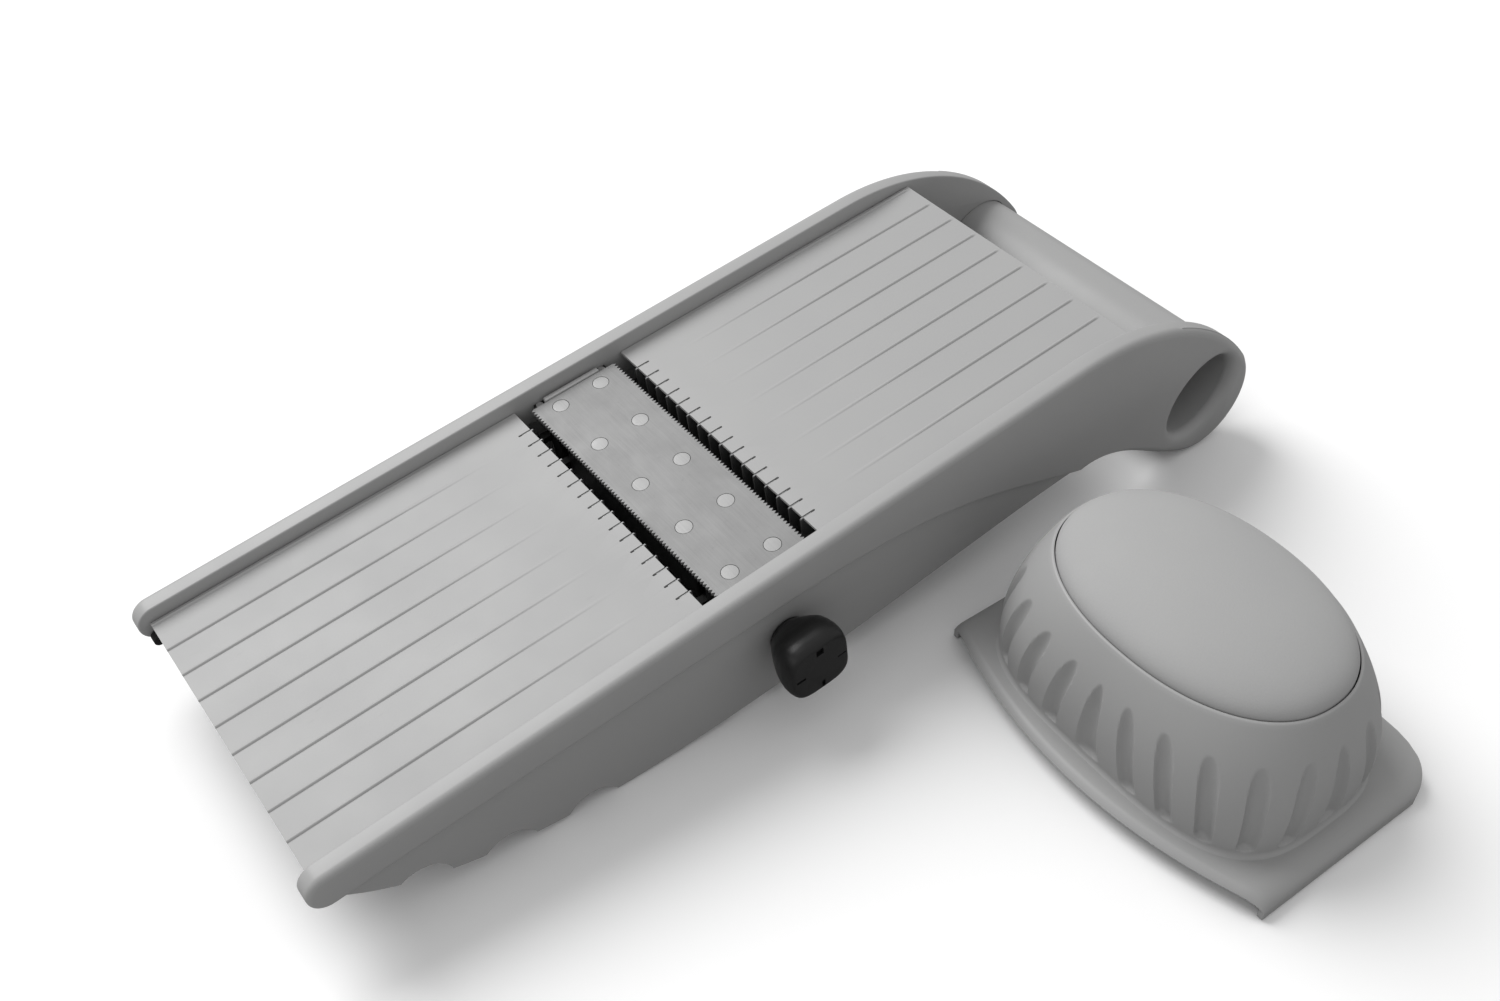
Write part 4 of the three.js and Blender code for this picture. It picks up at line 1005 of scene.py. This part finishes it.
def flangeSheet():
    flat, across, down = flange["flat"], flange["across"], flange["down"]
    # (x, z) from the middle of the flange out to the lip's foot
    profile = []
    for i in range(13):
        profile.append((flat * i / 12, guard["top"]))
    for i in range(1, 11):
        a = math.pi / 2 * i / 10
        profile.append((flat + across * math.sin(a), guard["top"] - down * (1 - math.cos(a))))
    for i in range(1, 4):
        profile.append((flat + across, guard["top"] - down - (guard["top"] - down) * i / 3))
    side = [(-x, z) for x, z in reversed(profile[1:])] + profile

    def edgeAt(x, rear):
        s = min(1, abs(x) / guard["lipOut"])
        if rear:
            corner = max(0, (abs(x) - flange["cornerFrom"]) / (guard["lipOut"] - flange["cornerFrom"]))
            drop = flange["cornerDrop"] * (1 - math.sqrt(max(0, 1 - corner ** 2.2)))
            return guard["half"] - drop - 2 * s * s
        t = 1 - s if s < 1 else 0
        sag = (1 - t) ** 2
        return -(guard["half"] * (1 - sag) + guard["lipHalf"] * sag)

    # close rows where the front edge rolls down
    steps, rows = flange["rollRows"], flange["rows"]
    run, left = steps[-1], rows - len(steps) + 1

    def sheetAt(u, v):
        x, z = side[round(u * (len(side) - 1))]
        front, back = edgeAt(x, False), edgeAt(x, True)
        row = round(v * rows)
        past = row - len(steps) + 1
        y = front + steps[row] if past <= 0 else front + run + (back - front - run) * past / left
        roll = flange["roll"] * max(0, 1 - (y - front) / run) ** 2 * min(1, z / guard["top"])
        return Vector((x, y, z - roll))

    piece = wrapGrid("flange", len(side) - 1, rows, sheetAt, closed=False, capped=False)
    if sum(face.normal.z for face in piece.data.polygons) < 0:
        piece.data.flip_normals()
    useModifier(piece, "SOLIDIFY", thickness=guard["thickness"], offset=-1.0, use_even_offset=True)
    for vertex in piece.data.vertices:
        vertex.co.z = max(0.0, vertex.co.z)
    softEdges(piece, 0.55, 3, 50)

    def holeAt(u, v):
        x, y = superSpot(guard["baseX"] - 1.6, guard["baseY"] - 1.6, guard["basePower"], 2 * math.pi * u)
        return Vector((x, y, 2 + 10 * v))

    withTool(piece, wrapGrid("flangeHole", 160, 1, holeAt), "DIFFERENCE")
    mendNormals(piece)
    return piece


bar = {
    "half": 6.0, "reach": 37.5, "low": 31.0, "top": 34.0, "seat": 11.4,
    "collar": 6.5, "collarTop": 40.0, "bore": 4.25,
}


# the bar across the shell that carries the pusher's stem and spring
def beamPiece():
    low, top = bar["low"], bar["top"]
    beam = blockFrom("beam", (-bar["half"], -bar["reach"], low), (bar["half"], bar["reach"], top))
    for name, radius, end in (("seatDisc", bar["seat"], top), ("collar", bar["collar"], bar["collarTop"])):
        withTool(beam, drumFrom(name, "z", radius, low, end, 0, 0, 48), "UNION")
    stemBore = drumFrom("stemBore", "z", bar["bore"], low - 2, bar["collarTop"] + 2, 0, 0, 40)
    withTool(beam, stemBore, "DIFFERENCE")
    softEdges(beam, 0.4, 2)
    return beam


shell = joinAll([shellWall(), flangeSheet(), beamPiece()], "guardShell")
finishPiece(shell, guardPlace, "guard", guardPlastic, ["guard_shell"], 40)


cap = {"inset": 1.1, "skirt": 7.9, "wall": 2.2, "stem": 4.0, "stemFoot": 29.3, "stemTop": 67.4, "pilot": 1.75}


def capPiece():
    halfX, halfY, seam = guard["seamX"] - cap["inset"], guard["seamY"] - cap["inset"], guard["seamZ"]
    rise, foot = guard["topZ"] - seam, seam - cap["skirt"]
    # (angle up the dome, height on the skirt, inset)
    path = [(0.0, foot, cap["wall"]), (0.0, foot, 0.3), (0.0, foot + 0.3, 0.0), (0.0, seam - 0.5, 0.0)]
    path += [(0.0, seam - 0.12, 0.06)]
    path += [(math.radians(90) * (1 - (1 - i / 40) ** 1.4), None, 0.0) for i in range(1, 40)]
    outside = len(path)

    def capAt(u, v):
        angle, z, inset = path[round(v * (outside - 1))]
        share = math.cos(angle)
        if z is None:
            z = seam + rise * math.sin(angle) ** 0.96
        power = guard["seamPower"] - 0.2 * math.sin(angle)
        x, y = superSpot((halfX - inset) * share, (halfY - inset) * share, power, 2 * math.pi * u)
        return Vector((x, y, z))

    dome = wrapGrid("guardCap", 192, outside - 1, capAt, capped=False)

    def innerAt(u, v):
        angle = math.radians(88) * v
        share = math.cos(angle)
        z = seam - 9 if v == 0 else seam - 1.9 + (rise - 0.2) * math.sin(angle)
        wall, power = cap["wall"], guard["seamPower"]
        x, y = superSpot((halfX - wall) * share, (halfY - wall) * share, power, 2 * math.pi * u)
        return Vector((x, y, z))

    editAll(dome)
    bpy.ops.mesh.select_all(action="DESELECT")
    bpy.ops.mesh.select_non_manifold(extend=False, use_boundary=True, use_wire=False)
    bpy.ops.mesh.fill_holes(sides=0)
    bpy.ops.mesh.select_all(action="SELECT")
    bpy.ops.mesh.normals_make_consistent(inside=False)
    leaveEdit()
    withTool(dome, wrapGrid("capHollow", 128, 18, innerAt), "DIFFERENCE")
    withTool(dome, drumFrom("stem", "z", cap["stem"], cap["stemFoot"], cap["stemTop"], 0, 0, 40), "UNION")
    withTool(dome, drumFrom("pilot", "z", cap["pilot"], 28, 38, 0, 0, 24), "DIFFERENCE")
    mendNormals(dome)
    return dome


finishPiece(capPiece(), guardPlace, "pusher", softTouch, ["guard_cap"], 40)

spring = {"radius": 9.0, "wire": 0.7, "turns": 6.5, "low": 34.3, "high": 65.8, "travel": 14.0}


# a coil with its end turns closed, square to the stem
def springPiece():
    low, high = spring["low"] + spring["wire"] + 0.1, spring["high"] - spring["wire"]
    pitchShare = 1 / (spring["turns"] - 2)

    def coilAt(u, v):
        turn = v * spring["turns"]
        climb = min(1, max(0, (turn - 1) * pitchShare))
        rise = climb + 0.045 * (min(turn, 1) - 1) * (turn < 1) + 0.045 * max(0, turn - spring["turns"] + 1)
        z = low + 1.5 + (high - low - 3.0) * rise
        a, b = 2 * math.pi * turn, 2 * math.pi * u
        r = spring["radius"] + spring["wire"] * math.cos(b)
        return Vector((r * math.cos(a), r * math.sin(a), z + spring["wire"] * math.sin(b)))

    return wrapGrid("pusherCoil", 12, 300, coilAt)


coil = finishPiece(springPiece(), guardPlace, "guard", brightSteel, ["pusher_spring"], 50)
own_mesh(coil)
print("guard done")

# Rubber feet at the tips.
foot = {
    "inside": 55.0, "outside": 58.7, "radius": 5.0, "at": (6.0, -9.0),
    "noseRadius": 1.9, "noseAt": (-0.2, -5.6),
}


def footPiece(name, side):
    low, high = sorted((side * foot["inside"], side * foot["outside"]))
    pad = drumFrom(name, "x", foot["radius"], low, high, *foot["at"], 48)
    withTool(pad, blockFrom("footTop", (low - 1, -5, -10), (high + 1, 20, 5)), "DIFFERENCE")
    nose = drumFrom("footNose", "x", foot["noseRadius"], low, high - 0.1, *foot["noseAt"], 32)
    withTool(pad, nose, "UNION")
    softEdges(pad, 0.4, 2)
    return pad


for name, side in (("left_tip_foot", -1), ("right_tip_foot", 1)):
    finishPiece(footPiece(name + "_pad", side), slicerPlace, "frame", footRubber, [name])

# Finishes for the CAD nodes that stay.
nodeFinish = {
    "bright_steel": brightSteel, "dark_plastic": darkPlastic, "rubber": footRubber,
    "body_plastic": bodyPlastic, "plate_plastic": platePlastic, "blade_steel": combSteel,
    "knob_plastic": knobPlastic, "guard_plastic": guardPlastic, "soft_touch": softTouch,
}
slotOf = {entry["node"]: entry["material_slot"] for entry in frame["record"]["subparts"]}
for name, node in frame["nodes"].items():
    node.data.materials.clear()
    node.data.materials.append(nodeFinish[slotOf[name]])
print("nodes finished")

# Floor, light and camera.
studio = {
    "sky": 0.56, "keyPower": 70.0, "keySize": 2.2, "keyAt": (-1.9, -0.45, 2.2),
    "fillPower": 4.0, "fillSize": 1.8, "fillAt": (0.3, -2.2, 1.3), "floorSeen": 0.98, "floorGlow": 0.36,
}
deselectAll()
bpy.ops.mesh.primitive_plane_add(size=8, location=(0, 0, -0.0005))
floor = bpy.context.object
floor.name = "studioFloor"
floorMaterial = bpy.data.materials.new("paleFloor")
floorMaterial.use_nodes = True
tree = floorMaterial.node_tree
shader = tree.nodes["Principled BSDF"]
shader.inputs["Roughness"].default_value = 0.9
shader.inputs["Specular IOR Level"].default_value = 0.1
seen = tree.nodes.new("ShaderNodeLightPath").outputs["Is Camera Ray"]
shade = mixColours(tree, seen, (studio["floorGlow"],) * 3 + (1,), (studio["floorSeen"],) * 3 + (1,))
link(tree, shade, shader.inputs["Base Color"])
floor.data.materials.append(floorMaterial)

world = bpy.context.scene.world or bpy.data.worlds.new("studio")
bpy.context.scene.world = world
world.use_nodes = True
world.node_tree.nodes["Background"].inputs["Color"].default_value = (1, 1, 1, 1)
world.node_tree.nodes["Background"].inputs["Strength"].default_value = studio["sky"]


def softLamp(name, spot, size, power):
    lamp = bpy.data.lights.new(name, "AREA")
    lamp.shape = "DISK"
    lamp.size = size
    lamp.energy = power
    holder = bpy.data.objects.new(name, lamp)
    bpy.context.scene.collection.objects.link(holder)
    holder.location = spot
    holder.rotation_euler = (Vector((0, 0, 0.03)) - Vector(spot)).to_track_quat("-Z", "Y").to_euler()


softLamp("keyLamp", studio["keyAt"], studio["keySize"], studio["keyPower"])
softLamp("fillLamp", studio["fillAt"], studio["fillSize"], studio["fillPower"])

camera = {
    "at": (328.13, 5.26, 377.45), "lens": 37.74,
    "right": (0.59534, 0.79562, -0.11204), "down": (0.55180, -0.50623, -0.66275),
}
lens = bpy.data.cameras.new("studioCamera")
lens.lens = camera["lens"]
lens.sensor_width = 36
lens.clip_start = 0.01
lens.dof.use_dof = False
holder = bpy.data.objects.new("studioCamera", lens)
bpy.context.scene.collection.objects.link(holder)
across = (lean.to_3x3() @ Vector(camera["right"])).normalized()
up = -(lean.to_3x3() @ Vector(camera["down"]))
up = (up - across * up.dot(across)).normalized()
back = across.cross(up)
facing = Matrix((across, up, back)).transposed().to_4x4()
holder.matrix_world = Matrix.Translation(slicerPlace @ Vector(camera["at"])) @ facing
bpy.context.scene.camera = holder
bpy.context.scene.view_settings.view_transform = "Standard"
print("stage ready")
